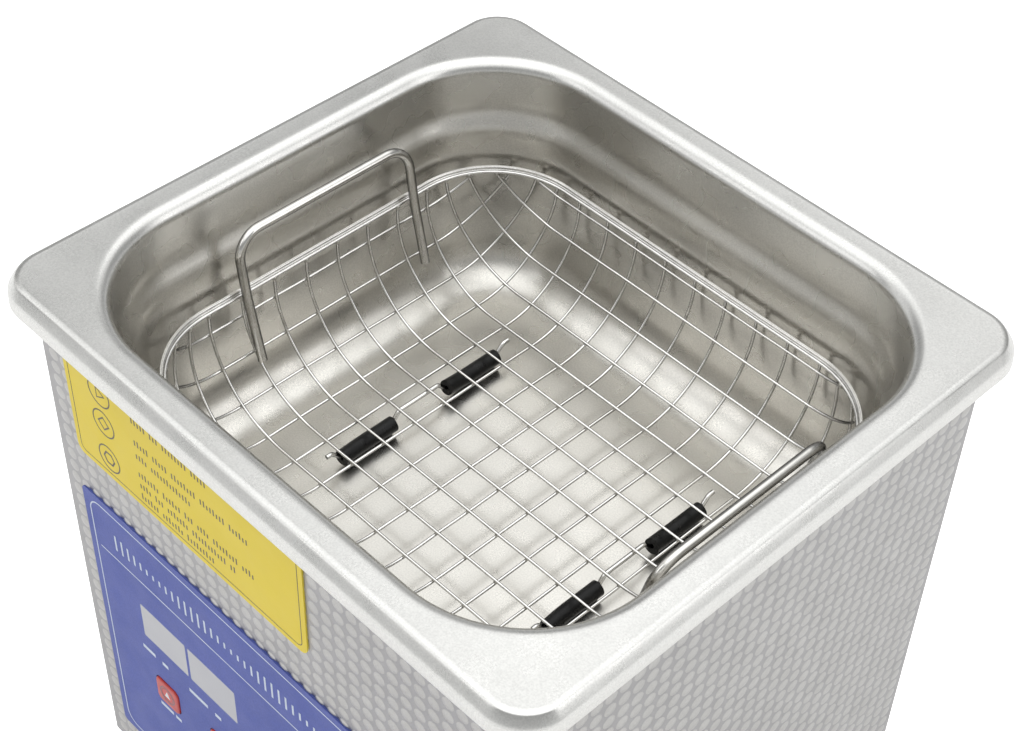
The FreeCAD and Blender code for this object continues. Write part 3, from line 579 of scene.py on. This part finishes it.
for node, (x, z) in BUTTONS.items():
    low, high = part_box(node)
    face = low.y / MM
    behind = face + CAP_LENGTH
    flange_back = behind + FLANGE_THICK
    squares = [(CAP_HALF - inset, CAP_CORNER - inset * 0.6, face + sunk) for inset, sunk in CAP_EDGE]
    squares += [(FLANGE_HALF, STEM_HALF - 0.01, y) for y in (behind, flange_back)]
    squares += [(STEM_HALF, STEM_HALF - 0.01, y) for y in (flange_back, high.y / MM)]
    bm = bmesh.new()
    rings = []
    for half, corner, y in squares:
        ring = rounded_ring(half, half, corner, 0, 8)
        rings.append([Vector((x * MM + p.x, y * MM, z * MM + p.y)) for p in ring])
    skin_rings(bm, rings)
    cap = new_piece(node + "_cap", bm)
    stand_for(cap, node, "button_red", red_cap, node)
    bm = bmesh.new()
    for outer, inner in RINGS:
        flat_shape(bm, circle_points(x, z, outer), circle_points(x, z, inner))
    printed(node + "_ring", bm, face - INK, INK, node, "button_red", ring_ink)
    bm = bmesh.new()
    flat_shape(bm, [(x + u, z + w) for u, w in SIGNS[node]])
    printed(node + "_sign", bm, face - INK, INK, node, "button_red", sign_ink)

# ---------------------------------------------------------------------------------------------
# The yellow label: a stuck-on film that lies over the pillows, above the panel. It has a thin
# dark line near its edge, and plain signs and bars in place of wording.

LABEL_RISE = 0.42
low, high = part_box("warning_label")
LABEL = tuple(c / MM for c in (low.x, high.x, low.z, high.z))
MARK_LEFT = -45.2
MARK_PITCH = 1.15
MARK_WIDTH = 0.42
WARNING_X = -57.5
WARNINGS = [(166.2, 3), (156.2, 4), (144.2, 6)]
yellow_film = finish("yellow film", (0.78, 0.61, 0.05), (0.75, 0.58, 0.045), 0.0, (0.42, 0.5), 16.0, 2.5,
                     0.03, specular=0.3)
dark_ink = finish("dark ink", (0.085, 0.065, 0.05), (0.11, 0.085, 0.06), 0.0, (0.4, 0.5), 3.0, 0.3, 0.004)
bm = bmesh.new()
x0, x1, z0, z1 = LABEL
flat_shape(bm, corner_points(x0, x1, z0, z1, 2.6))
label_face = high.y / MM - LABEL_RISE
label = printed("label_film", bm, label_face, LABEL_RISE, "housing", "label_yellow", yellow_film)
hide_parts("warning_label")
bm = bmesh.new()
frame_line(bm, x0 + 1.6, x1 - 1.6, z0 + 1.6, z1 - 1.6, 2.0, 0.22)
ROWS = [(166.9, (5, 3, 8, 5)), (159.5, (5, 5, 8, 8, 6)), (155.1, (4, 13)), (148.9, (7, 6, 3, 4, 8, 4)),
        (145.0, (4, 3, 7, 11, 2)), (141.2, (6, 7, 9))]
for z, groups in ROWS:
    x = MARK_LEFT
    for long in groups:
        for k in range(long):
            rise = (1.0, 0.7, 0.85)[(k + long) % 3]
            left = x + MARK_PITCH * k
            bar(bm, left, left + MARK_WIDTH, z - 0.9, z - 0.9 + 2.0 * rise)
        x += MARK_PITCH * long + 1.2
for z, sides in WARNINGS:
    flat_shape(bm, circle_points(WARNING_X, z, 4.2), circle_points(WARNING_X, z, 3.8))
    flat_shape(bm, circle_points(WARNING_X, z, 2.3, sides), circle_points(WARNING_X, z, 1.7, sides))
printed("label_print", bm, label_face - INK, INK, "housing", "label_yellow", dark_ink)

# ---------------------------------------------------------------------------------------------
# Inside the casing: the control board behind the panel, the generator board on the base, the
# transducer screwed together and glued under the pan, the heater mat and the wires between them.

moulded = finish("black moulding", (0.022, 0.022, 0.023), (0.03, 0.03, 0.031), 0.0, (0.35, 0.5), 5.0, 0.4,
                 0.02)
board_green = finish("solder mask", (0.02, 0.16, 0.06), (0.015, 0.12, 0.045), 0.0, (0.2, 0.3), 4.0, 0.8,
                     0.01)
brass = finish("brass", (0.8, 0.6, 0.26), (0.7, 0.5, 0.2), 1.0, (0.2, 0.32), 3.0, 0.3, 0.01)
alloy = finish("machined alloy", (0.76, 0.77, 0.78), (0.68, 0.69, 0.7), 1.0, (0.25, 0.36), 6.0, 0.3, 0.01,
               stretch=(1, 1, 8))
INSIDE = [
    (board_green, ("control_board", "generator_board")),
    (moulded, ("led_displays", "controller_chip", "power_transistors", "tact_switches")),
    (plated, ("control_board_screws", "generator_screws", "inlet_nuts", "transducer_bolt")),
    (brass, ("control_board_posts", "generator_posts", "transducer_electrodes", "switch_terminals")),
    (alloy, ("heat_sink", "transducer_front_mass", "temperature_sensor")),
    (finish("ferrite", (0.05, 0.05, 0.053), (0.08, 0.08, 0.083), 0.0, (0.5, 0.65), 4.0, 0.5, 0.03),
     ("transformer_core",)),
    (finish("enamelled copper", (0.62, 0.25, 0.09), (0.5, 0.18, 0.06), 1.0, (0.25, 0.4), 2.0, 0.6, 0.06,
            stretch=(0.2, 1, 4)), ("transformer_coil",)),
    (finish("capacitor sleeve", (0.015, 0.025, 0.075), (0.02, 0.03, 0.09), 0.0, (0.25, 0.35), 5.0, 1.0,
            0.02), ("smoothing_capacitors",)),
    (finish("film capacitor", (0.66, 0.46, 0.08), (0.58, 0.4, 0.06), 0.0, (0.25, 0.35), 5.0, 1.0, 0.03),
     ("film_capacitors",)),
    (finish("terminal moulding", (0.04, 0.3, 0.12), (0.03, 0.25, 0.1), 0.0, (0.35, 0.45), 5.0, 0.5, 0.02),
     ("terminal_block",)),
    (finish("fired ceramic", (0.5, 0.5, 0.47), (0.42, 0.42, 0.4), 0.0, (0.4, 0.55), 3.0, 0.3, 0.02),
     ("piezo_rings",)),
    (finish("turned steel", (0.44, 0.44, 0.45), (0.38, 0.38, 0.39), 1.0, (0.3, 0.42), 4.0, 0.3, 0.01,
            stretch=(1, 1, 9)), ("transducer_back_mass",)),
    (finish("heater mat", (0.42, 0.09, 0.045), (0.36, 0.07, 0.04), 0.0, (0.5, 0.62), 5.0, 1.2, 0.08),
     ("heater_pad",)),
    (finish("wire insulation", (0.5, 0.035, 0.025), (0.44, 0.03, 0.02), 0.0, (0.35, 0.45), 8.0, 0.6, 0.01),
     ("wiring",)),
    (finish("fuse tube", (0.7, 0.74, 0.74), (0.6, 0.64, 0.64), 0.0, (0.08, 0.14), 5.0, 1.0, 0.004),
     ("fuse",)),
]
for material, names in INSIDE:
    for node in names:
        dress(nodes[node], material)

# ---------------------------------------------------------------------------------------------
# The rear fittings: a moulded mains inlet with brass pins and two screws, a rocker switch with
# a red rocker in a black frame, and a fuse holder with a slotted cap.

rocker_red = finish("rocker red", (0.5, 0.02, 0.016), (0.44, 0.018, 0.014), 0.0, (0.15, 0.22), 5.0, 0.5,
                    0.006, coat=0.4)
FITTINGS = [
    ("inlet_body", "power_inlet", 0.35, "housing", "fitting_black", moulded),
    ("inlet_contacts", "inlet_pins", 0.3, "housing", "brass", brass),
    ("screws_inlet", "inlet_screws", 0.25, "housing", "plated_steel", plated),
    ("switch_bezel", "switch_frame", 0.3, "housing", "fitting_black", moulded),
    ("rocker", "switch_rocker", 0.35, "switch_rocker", "rocker_red", rocker_red),
    ("fuse_body", "fuse_holder", 0.3, "housing", "fitting_black", moulded),
    ("fuse_knob", "fuse_cap", 0.3, "housing", "fitting_black", moulded),
]
for name, node, bevel, body, slot, material in FITTINGS:
    stand_for(softened(name, node, bevel), body, slot, material, node)

# ---------------------------------------------------------------------------------------------
# The basket's mesh: straight 0.8 mm wires spot welded at every crossing into a flat square mesh,
# pressed into a bowl, so the outer wires fan together in the corners. The wires that run left to
# right lie inside the others.

BASKET_AT = (0.15, 0.8)
MESH_WIRE = 0.4
MESH_UNEVEN = 0.35
MESH_FLOOR = RIM_TOP - 57.8
MESH_BEND = 26.0
MESH_FLAT = (43.15, 36.4)
MESH_RISE = 2.3
MESH_PITCH = 10.26
MESH_LAYER = 0.41
ALONG_Y = [-48.95 + MESH_PITCH * i for i in range(-3, 14)]
ALONG_X = [5.1 + MESH_PITCH * j for j in range(-8, 8)]
MESH_LIMIT = MESH_BEND * math.pi / 2 + MESH_RISE


def mesh_point(u, v, out):
    """Point of the bowl for flat mesh position (u, v), moved outwards from the middle layer."""
    du = max(abs(u) - MESH_FLAT[0], 0)
    dv = max(abs(v) - MESH_FLAT[1], 0)
    run = math.hypot(du, dv)
    if run < 1e-6:
        return Vector((BASKET_AT[0] + u, BASKET_AT[1] + v, MESH_FLOOR - out)) * MM
    turn = min(run / MESH_BEND, math.pi / 2)
    reach = (MESH_BEND + out) * math.sin(turn)
    height = MESH_BEND - (MESH_BEND + out) * math.cos(turn) + run - turn * MESH_BEND
    x = math.copysign(min(abs(u), MESH_FLAT[0]) + reach * du / run, u)
    y = math.copysign(min(abs(v), MESH_FLAT[1]) + reach * dv / run, v)
    return Vector((BASKET_AT[0] + x, BASKET_AT[1] + y, MESH_FLOOR + height)) * MM


def wire_tree():
    """Round wire along every line of the source, with a little unevenness and flat cut ends."""
    tree, given, out = tree_with("wire along lines", [
        ("Radius", "Float"), ("Sides", "Int"), ("Unevenness", "Float"), ("Material", "Material")])
    place = linked(tree, "GeometryNodeInputPosition")
    noise = linked(tree, "ShaderNodeTexNoise", {"Vector": place.outputs[0], "Scale": 55.0, "Detail": 1.0})
    even = linked(tree, "ShaderNodeVectorMath", {0: noise.outputs["Color"], 1: (0.5, 0.5, 0.5)},
                  operation="SUBTRACT")
    shift = linked(tree, "ShaderNodeVectorMath", {0: even.outputs[0], "Scale": given.outputs["Unevenness"]},
                   operation="SCALE")
    moved = linked(tree, "GeometryNodeSetPosition", {"Geometry": given.outputs["Geometry"],
                                                     "Offset": shift.outputs[0]})
    curve = linked(tree, "GeometryNodeMeshToCurve", {"Mesh": moved.outputs[0]})
    circle = linked(tree, "GeometryNodeCurvePrimitiveCircle", {"Resolution": given.outputs["Sides"],
                                                               "Radius": given.outputs["Radius"]})
    wire = linked(tree, "GeometryNodeCurveToMesh", {"Curve": curve.outputs[0],
                                                    "Profile Curve": circle.outputs[0], "Fill Caps": True})
    real = linked(tree, "GeometryNodeRealizeInstances", {0: wire.outputs[0]})
    painted = linked(tree, "GeometryNodeSetMaterial", {"Geometry": real.outputs[0],
                                                       "Material": given.outputs["Material"]})
    tree.links.new(painted.outputs[0], out.inputs[0])
    return tree


def lines_mesh(lines, closed=False):
    """Mesh of bare edges that follow each list of points."""
    points, edges = [], []
    for line in lines:
        first = len(points)
        points += line
        edges += [(first + k, first + k + 1) for k in range(len(line) - 1)]
        if closed:
            edges.append((first + len(line) - 1, first))
    mesh = bpy.data.meshes.new("lines")
    mesh.from_pydata(points, edges, [])
    return mesh


def wires(name, lines, radius, sides, unevenness, material, closed=False):
    """Piece made of one round wire along each line."""
    piece = realized(name, wire_path, lines_mesh(lines, closed), {
        "Radius": radius * MM, "Sides": sides, "Unevenness": unevenness * MM, "Material": material})
    piece.data.shade_smooth()
    piece.data.set_sharp_from_angle(angle=math.radians(50))
    return piece


def climbing(flat_along, flat_across, across):
    """Places along one wire, from its end at one side of the rim to its end at the other."""
    side = max(abs(across) - flat_across, 0)
    climb = math.sqrt(MESH_LIMIT ** 2 - side ** 2)
    steps = [flat_along + climb * k / 24 for k in range(25)]
    return [-t for t in reversed(steps)] + [flat_along * k / 8 for k in range(-7, 8)] + steps


wire_path = wire_tree()
# Painted shade: edge=0.9 darkens the wires' colour along their sides, where they turn away from the view.
basket_steel = finish("basket wire steel", (0.90, 0.89, 0.87), (0.82, 0.81, 0.79), 1.0, (0.1, 0.16), 2.0,
                      0.2, 0.004, edge=0.9)
long_lines = []
for v in ALONG_X:
    long_lines.append([mesh_point(t, v, -MESH_LAYER) for t in climbing(MESH_FLAT[0], MESH_FLAT[1], v)])
cross_lines = []
for u in ALONG_Y:
    cross_lines.append([mesh_point(u, t, MESH_LAYER) for t in climbing(MESH_FLAT[1], MESH_FLAT[0], u)])
LAYERS = [
    ("mesh_wires_long", long_lines, ("basket_mesh_long", "basket_mesh_front_wire")),
    ("mesh_wires_cross", cross_lines, ("basket_mesh_cross",)),
]
for name, lines, replaced in LAYERS:
    layer = wires(name, lines, MESH_WIRE, 10, MESH_UNEVEN, basket_steel)
    stand_for(layer, "basket", "basket_wire", basket_steel, *replaced)

# ---------------------------------------------------------------------------------------------
# The basket's rim: a steel band bent round the outside of the bowl and butt welded, with a thin
# wire laid inside it. Every mesh wire ends between the two in a small spot weld.

BAND_IN = -0.15
BAND_Z = RIM_TOP - 28.4
RIM_WIRE = 0.45
CROSSING_WELD = 0.5
RIM_WELD = 0.8
BAND_FACE = [(0.12, -0.95), (0.7, -0.95), (0.8, -0.85), (0.8, 0.85), (0.7, 0.95), (0.47, 0.95), (0.4, 0.88),
             (0.33, 0.95), (0.12, 0.95), (0.0, 0.83), (0.0, 0.1), (0.07, 0.03), (0.0, -0.04), (0.0, -0.83)]


def bowl_ring(out, z, steps=20):
    """Ring that follows the bowl's upright wall, moved outwards from the middle of the mesh."""
    reach = MESH_BEND + out
    ring = rounded_ring(MESH_FLAT[0] + reach, MESH_FLAT[1] + reach, reach, z, steps)
    return [p + Vector((BASKET_AT[0], BASKET_AT[1], 0)) * MM for p in ring]


def bead_tree():
    """Weld beads: a small uneven blob on each source point, of random size."""
    tree, given, out = tree_with("weld beads", [
        ("Radius", "Float"), ("Spread", "Float"), ("Seed", "Int"), ("Material", "Material")])
    ball = linked(tree, "GeometryNodeMeshIcoSphere", {"Radius": given.outputs["Radius"], "Subdivisions": 2})
    least = linked(tree, "ShaderNodeMath", {0: 1.0, 1: given.outputs["Spread"]}, operation="SUBTRACT")
    most = linked(tree, "ShaderNodeMath", {0: 1.0, 1: given.outputs["Spread"]}, operation="ADD")
    size = linked(tree, "FunctionNodeRandomValue", {2: least.outputs[0], 3: most.outputs[0],
                                                    "Seed": given.outputs["Seed"]}, data_type="FLOAT")
    beads = linked(tree, "GeometryNodeInstanceOnPoints", {"Points": given.outputs["Geometry"],
                                                          "Instance": ball.outputs["Mesh"],
                                                          "Scale": size.outputs[1]})
    real = linked(tree, "GeometryNodeRealizeInstances", {0: beads.outputs[0]})
    soft = linked(tree, "GeometryNodeSetShadeSmooth", {0: real.outputs[0]})
    painted = linked(tree, "GeometryNodeSetMaterial", {"Geometry": soft.outputs[0],
                                                       "Material": given.outputs["Material"]})
    tree.links.new(painted.outputs[0], out.inputs[0])
    return tree


def beads(name, points, radius, spread, seed):
    """Weld beads at the points, riding on the basket."""
    piece = realized(name, bead_path, lines_mesh([[p] for p in points]), {
        "Radius": radius * MM, "Spread": spread, "Seed": seed, "Material": weld_steel})
    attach(piece, "basket")


bead_path = bead_tree()
weld_steel = finish("spot weld", (0.66, 0.64, 0.6), (0.5, 0.48, 0.45), 1.0, (0.25, 0.42), 0.8, 0.3, 0.02)
# Painted shade: edge=0.4 darkens the band's colour where its face turns away from the view.
band_steel = finish("band steel", (0.86, 0.85, 0.83), (0.76, 0.75, 0.73), 1.0, (0.18, 0.26), 3.0, 0.25,
                    0.006, edge=0.4)
bm = bmesh.new()
skin_rings(bm, [bowl_ring(BAND_IN + t, BAND_Z + h) for t, h in BAND_FACE], closed=True)
stand_for(new_piece("rim_band", bm), "basket", "basket_rim", band_steel, "basket_rim_band")
inner_line = bowl_ring(BAND_IN - 0.3, BAND_Z - 0.5, 16)
stand_for(wires("rim_wire", [inner_line], RIM_WIRE, 10, 0.15, band_steel, True), "basket", "basket_rim",
          band_steel, "basket_rim_wire")
crossings = []
for u in ALONG_Y:
    for v in ALONG_X:
        side = math.hypot(max(abs(u) - MESH_FLAT[0], 0), max(abs(v) - MESH_FLAT[1], 0))
        if side < MESH_LIMIT - 1.0:
            crossings.append(mesh_point(u, v, 0))
beads("crossing_welds", crossings, CROSSING_WELD, 0.08, 3)
ends = [line[k] + Vector((0, 0, 0.1 * MM)) for line in long_lines + cross_lines for k in (0, -1)]
beads("rim_welds", ends, RIM_WELD, 0.2, 5)

# ---------------------------------------------------------------------------------------------
# The two lifting handles: loops of 2.5 mm wire with rounded corners. Their legs run down inside the
# mesh and are welded to it and to the rim, and their ends are cut off square.

HANDLE_Y = (-25.0, 30.0)
HANDLE_LEG = [(62.05, 141.0), (66.15, 159.0)]
HANDLE_TOP = RIM_TOP - 10.8
HANDLE_WIRE = 1.25
HANDLE_BEND = 7.0
HANDLE_WELD = 0.7
HANDLE_WELDS_AT = [(66.45, 157.6), (65.55, 152.4), (63.75, 144.8)]


def rounded_line(points, bend, steps=8):
    """Line through the points in millimetres with each inner corner rounded, in metres."""
    corners = [Vector(p) for p in points]
    line = [corners[0]]
    for before, at, after in zip(corners, corners[1:], corners[2:]):
        a, b = (before - at).normalized(), (after - at).normalized()
        half = a.angle(b) / 2
        trim = bend / math.tan(half)
        centre = at + (a + b).normalized() * (bend / math.sin(half))
        first, last = at + a * trim - centre, at + b * trim - centre
        turn = first.angle(last)
        for k in range(steps + 1):
            t = turn * k / steps
            line.append(centre + (first * math.sin(turn - t) + last * math.sin(t)) / math.sin(turn))
    line.append(corners[-1])
    return [p * MM for p in line]


# Painted shade: edge=0.85 darkens the handle wire's colour along its sides, where it turns away from the
# view.
handle_steel = finish("handle wire steel", (0.80, 0.785, 0.75), (0.7, 0.685, 0.655), 1.0, (0.1, 0.16), 4.0,
                      0.2, 0.004, edge=0.85)
for name, side, top_x in (("handle_left", -1, 68.85), ("handle_right", 1, 70.25)):
    leg = [(BASKET_AT[0] + side * x, z) for x, z in HANDLE_LEG + [(top_x, HANDLE_TOP)]]
    loop = [(x, HANDLE_Y[0], z) for x, z in leg] + [(x, HANDLE_Y[1], z) for x, z in reversed(leg)]
    handle = wires(name + "_loop", [rounded_line(loop, HANDLE_BEND)], HANDLE_WIRE, 20, 0.0, handle_steel)
    stand_for(handle, "basket", "handle_wire", handle_steel, name)
    spots = []
    for y in HANDLE_Y:
        for x, z in HANDLE_WELDS_AT:
            spots.append(Vector((BASKET_AT[0] + side * x, y + 0.7, z)) * MM)
    beads(name + "_welds", spots, HANDLE_WELD, 0.2, 7)

# ---------------------------------------------------------------------------------------------
# The basket's feet: two 1.2 mm wires welded under the mesh, each dipping twice. A length of black
# rubber tube is pushed over each dip, so that only rubber touches the tank's floor.

SLEEVE_R = 2.15
SLEEVE_BORE = 0.62
SLEEVE_Z = RIM_TOP - 65.0 + 0.2 + SLEEVE_R
FOOT_ROD_R = 0.6
FOOT_HIGH = MESH_FLOOR + MESH_LAYER - MESH_WIRE - FOOT_ROD_R
FOOT_ROD_X = (-34.4, 38.6)
FOOT_LINE = [(-28.0, 0), (-26.4, 0), (-22.2, 1), (-7.6, 1), (-4.0, 0), (9.4, 0), (13.4, 1), (28.6, 1),
             (32.6, 0), (34.4, 0)]
ROD_BEND = 1.6
SLEEVE_BEND = 30.0
SLEEVE_OVERLAP = Vector((0, 1.5, 0))
SLEEVE_LIFT = Vector((0, 0, 0.9))
SLEEVES = {1: Vector((0.5, 0, 0.3)), 5: Vector((0.5, 0, 1.1))}


def tube(bm, line, outer, inner, sides=28):
    """Thick-walled tube along a line, its cut ends square."""
    outside, inside = [], []
    sideways = Vector((1, 0, 0))
    for k, p in enumerate(line):
        along = (line[min(k + 1, len(line) - 1)] - line[max(k - 1, 0)]).normalized()
        across = (sideways - along * sideways.dot(along)).normalized()
        third = along.cross(across)
        turn = [2 * math.pi * s / sides for s in range(sides)]
        outside.append([p + (across * math.cos(a) + third * math.sin(a)) * outer * MM for a in turn])
        inside.append([p + (across * math.cos(a) + third * math.sin(a)) * inner * MM for a in turn])
    skin_rings(bm, outside + list(reversed(inside)), closed=True)


sleeve_rubber = finish("sleeve rubber", (0.006, 0.006, 0.006), (0.009, 0.009, 0.009), 0.0, (0.26, 0.38), 3.0,
                       0.7, 0.04, specular=0.25)
bm = bmesh.new()
rods = []
for x in FOOT_ROD_X:
    line = [Vector((x, y, SLEEVE_Z if low else FOOT_HIGH)) for y, low in FOOT_LINE]
    rods.append(rounded_line(line, ROD_BEND, 6))
    for first, bow in SLEEVES.items():
        near, far = line[first + 1], line[first + 2]
        route = [near - SLEEVE_OVERLAP + SLEEVE_LIFT + bow, near.lerp(far, 0.3) + SLEEVE_LIFT,
                 far + SLEEVE_OVERLAP + SLEEVE_LIFT]
        tube(bm, rounded_line(route, SLEEVE_BEND), SLEEVE_R, SLEEVE_BORE)
stand_for(new_piece("rubber_sleeves", bm, 50), "basket", "rubber", sleeve_rubber, "foot_sleeves")
foot_wires = wires("foot_wires", rods, FOOT_ROD_R, 14, 0.0, basket_steel)
stand_for(foot_wires, "basket", "basket_wire", basket_steel, "basket_feet")

# ---------------------------------------------------------------------------------------------
# The studio: a plain white floor, a pale surround that is brightest overhead, large soft lights
# and the camera.

TARGET = Vector((20.4, -11.1, 187.4)) * MM
CAMERA_AT = Vector((231.7, -234.3, 492.3)) * MM
ROLL = math.radians(-2.91)
FLOOR_HALF = 4.0
FLOOR_DROP = 0.0003
FLOOR_GLOW = 0.22
FLOOR_SEEN = 0.8
SKY = [(0.0, 0.75), (0.2, 0.5), (0.42, 0.3), (0.62, 0.45), (0.8, 1.35), (1.0, 1.75)]
SKY_SEEN = 0.95

bm = bmesh.new()
bmesh.ops.create_grid(bm, x_segments=1, y_segments=1, size=FLOOR_HALF)
bmesh.ops.translate(bm, verts=bm.verts[:], vec=(0, 0, -FLOOR_DROP))
floor = new_piece("floor", bm)
floor_paint = finish("floor paint", (0.86, 0.86, 0.86), (0.84, 0.84, 0.84), 0.0, (0.7, 0.8), 300.0, 2.0,
                     0.01)
paint_tree = floor_paint.node_tree
paint_shader = paint_tree.nodes["Principled BSDF"]
paint_shader.inputs["Emission Color"].default_value = (1, 1, 1, 1)
rays = linked(paint_tree, "ShaderNodeLightPath")
glow = linked(paint_tree, "ShaderNodeMapRange", {"Value": rays.outputs["Is Camera Ray"],
                                                 "To Min": FLOOR_GLOW, "To Max": FLOOR_SEEN})
paint_tree.links.new(glow.outputs["Result"], paint_shader.inputs["Emission Strength"])
dress(floor, floor_paint)
floor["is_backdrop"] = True

world = bpy.data.worlds.new("studio")
bpy.context.scene.world = world
world.use_nodes = True
tree = world.node_tree
direction = linked(tree, "ShaderNodeTexCoord")
height = linked(tree, "ShaderNodeSeparateXYZ", {0: direction.outputs["Generated"]})
ramp = linked(tree, "ShaderNodeValToRGB", {"Fac": height.outputs["Z"]})
while len(ramp.color_ramp.elements) < len(SKY):
    ramp.color_ramp.elements.new(0.5)
for stop, (at, level) in zip(ramp.color_ramp.elements, SKY):
    stop.position = at
    stop.color = (level * 0.99, level, level, 1)
rays = linked(tree, "ShaderNodeLightPath")
seen = linked(tree, "ShaderNodeMix", {"Factor": rays.outputs["Is Camera Ray"], 6: ramp.outputs["Color"]},
              data_type="RGBA")
seen.inputs[7].default_value = (SKY_SEEN, SKY_SEEN, SKY_SEEN, 1)
tree.links.new(seen.outputs[2], tree.nodes["Background"].inputs["Color"])
tree.nodes["Background"].inputs["Strength"].default_value = 1.0


def softbox(name, at, aim, size, power):
    """Soft rectangular light of so many watts, placed in metres and turned to its aim."""
    light = bpy.data.lights.new(name, "AREA")
    light.shape = "RECTANGLE"
    light.size, light.size_y = size
    light.energy = power
    lamp = bpy.data.objects.new(name, light)
    lamp.location = at
    lamp.rotation_mode = "QUATERNION"
    lamp.rotation_quaternion = (Vector(aim) - Vector(at)).to_track_quat("-Z", "Y")
    bpy.context.scene.collection.objects.link(lamp)


softbox("softbox_front", (-0.55, -1.15, 0.9), (0, 0, 0.15), (0.7, 0.7), 1.6)
softbox("softbox_left", (-1.3, -0.5, 0.9), (0, 0, 0.12), (0.8, 1.0), 1.2)
softbox("softbox_back", (-0.45, 0.95, 1.1), (0, 0, 0.15), (0.8, 0.8), 0.55)
softbox("softbox_right", (1.3, 0.6, 0.9), (0, 0, 0.12), (0.8, 1.0), 3)

forward = (TARGET - CAMERA_AT).normalized()
level = forward.cross(Vector((0, 0, 1))).normalized()
down = forward.cross(level)
right = level * math.cos(ROLL) + down * math.sin(ROLL)
down = down * math.cos(ROLL) - level * math.sin(ROLL)
camera_data = bpy.data.cameras.new("camera")
camera_data.lens = 69.77
camera_data.sensor_width = 36.0
camera_data.shift_x = -0.0258
camera_data.shift_y = 0.0074
camera_data.clip_start = 0.01
camera = bpy.data.objects.new("camera", camera_data)
bpy.context.scene.collection.objects.link(camera)
rotation = Matrix((right, -down, -forward)).transposed()
camera.matrix_world = Matrix.Translation(CAMERA_AT) @ rotation.to_4x4()
bpy.context.scene.camera = camera
bpy.context.scene.view_settings.view_transform = "Standard"

low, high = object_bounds()
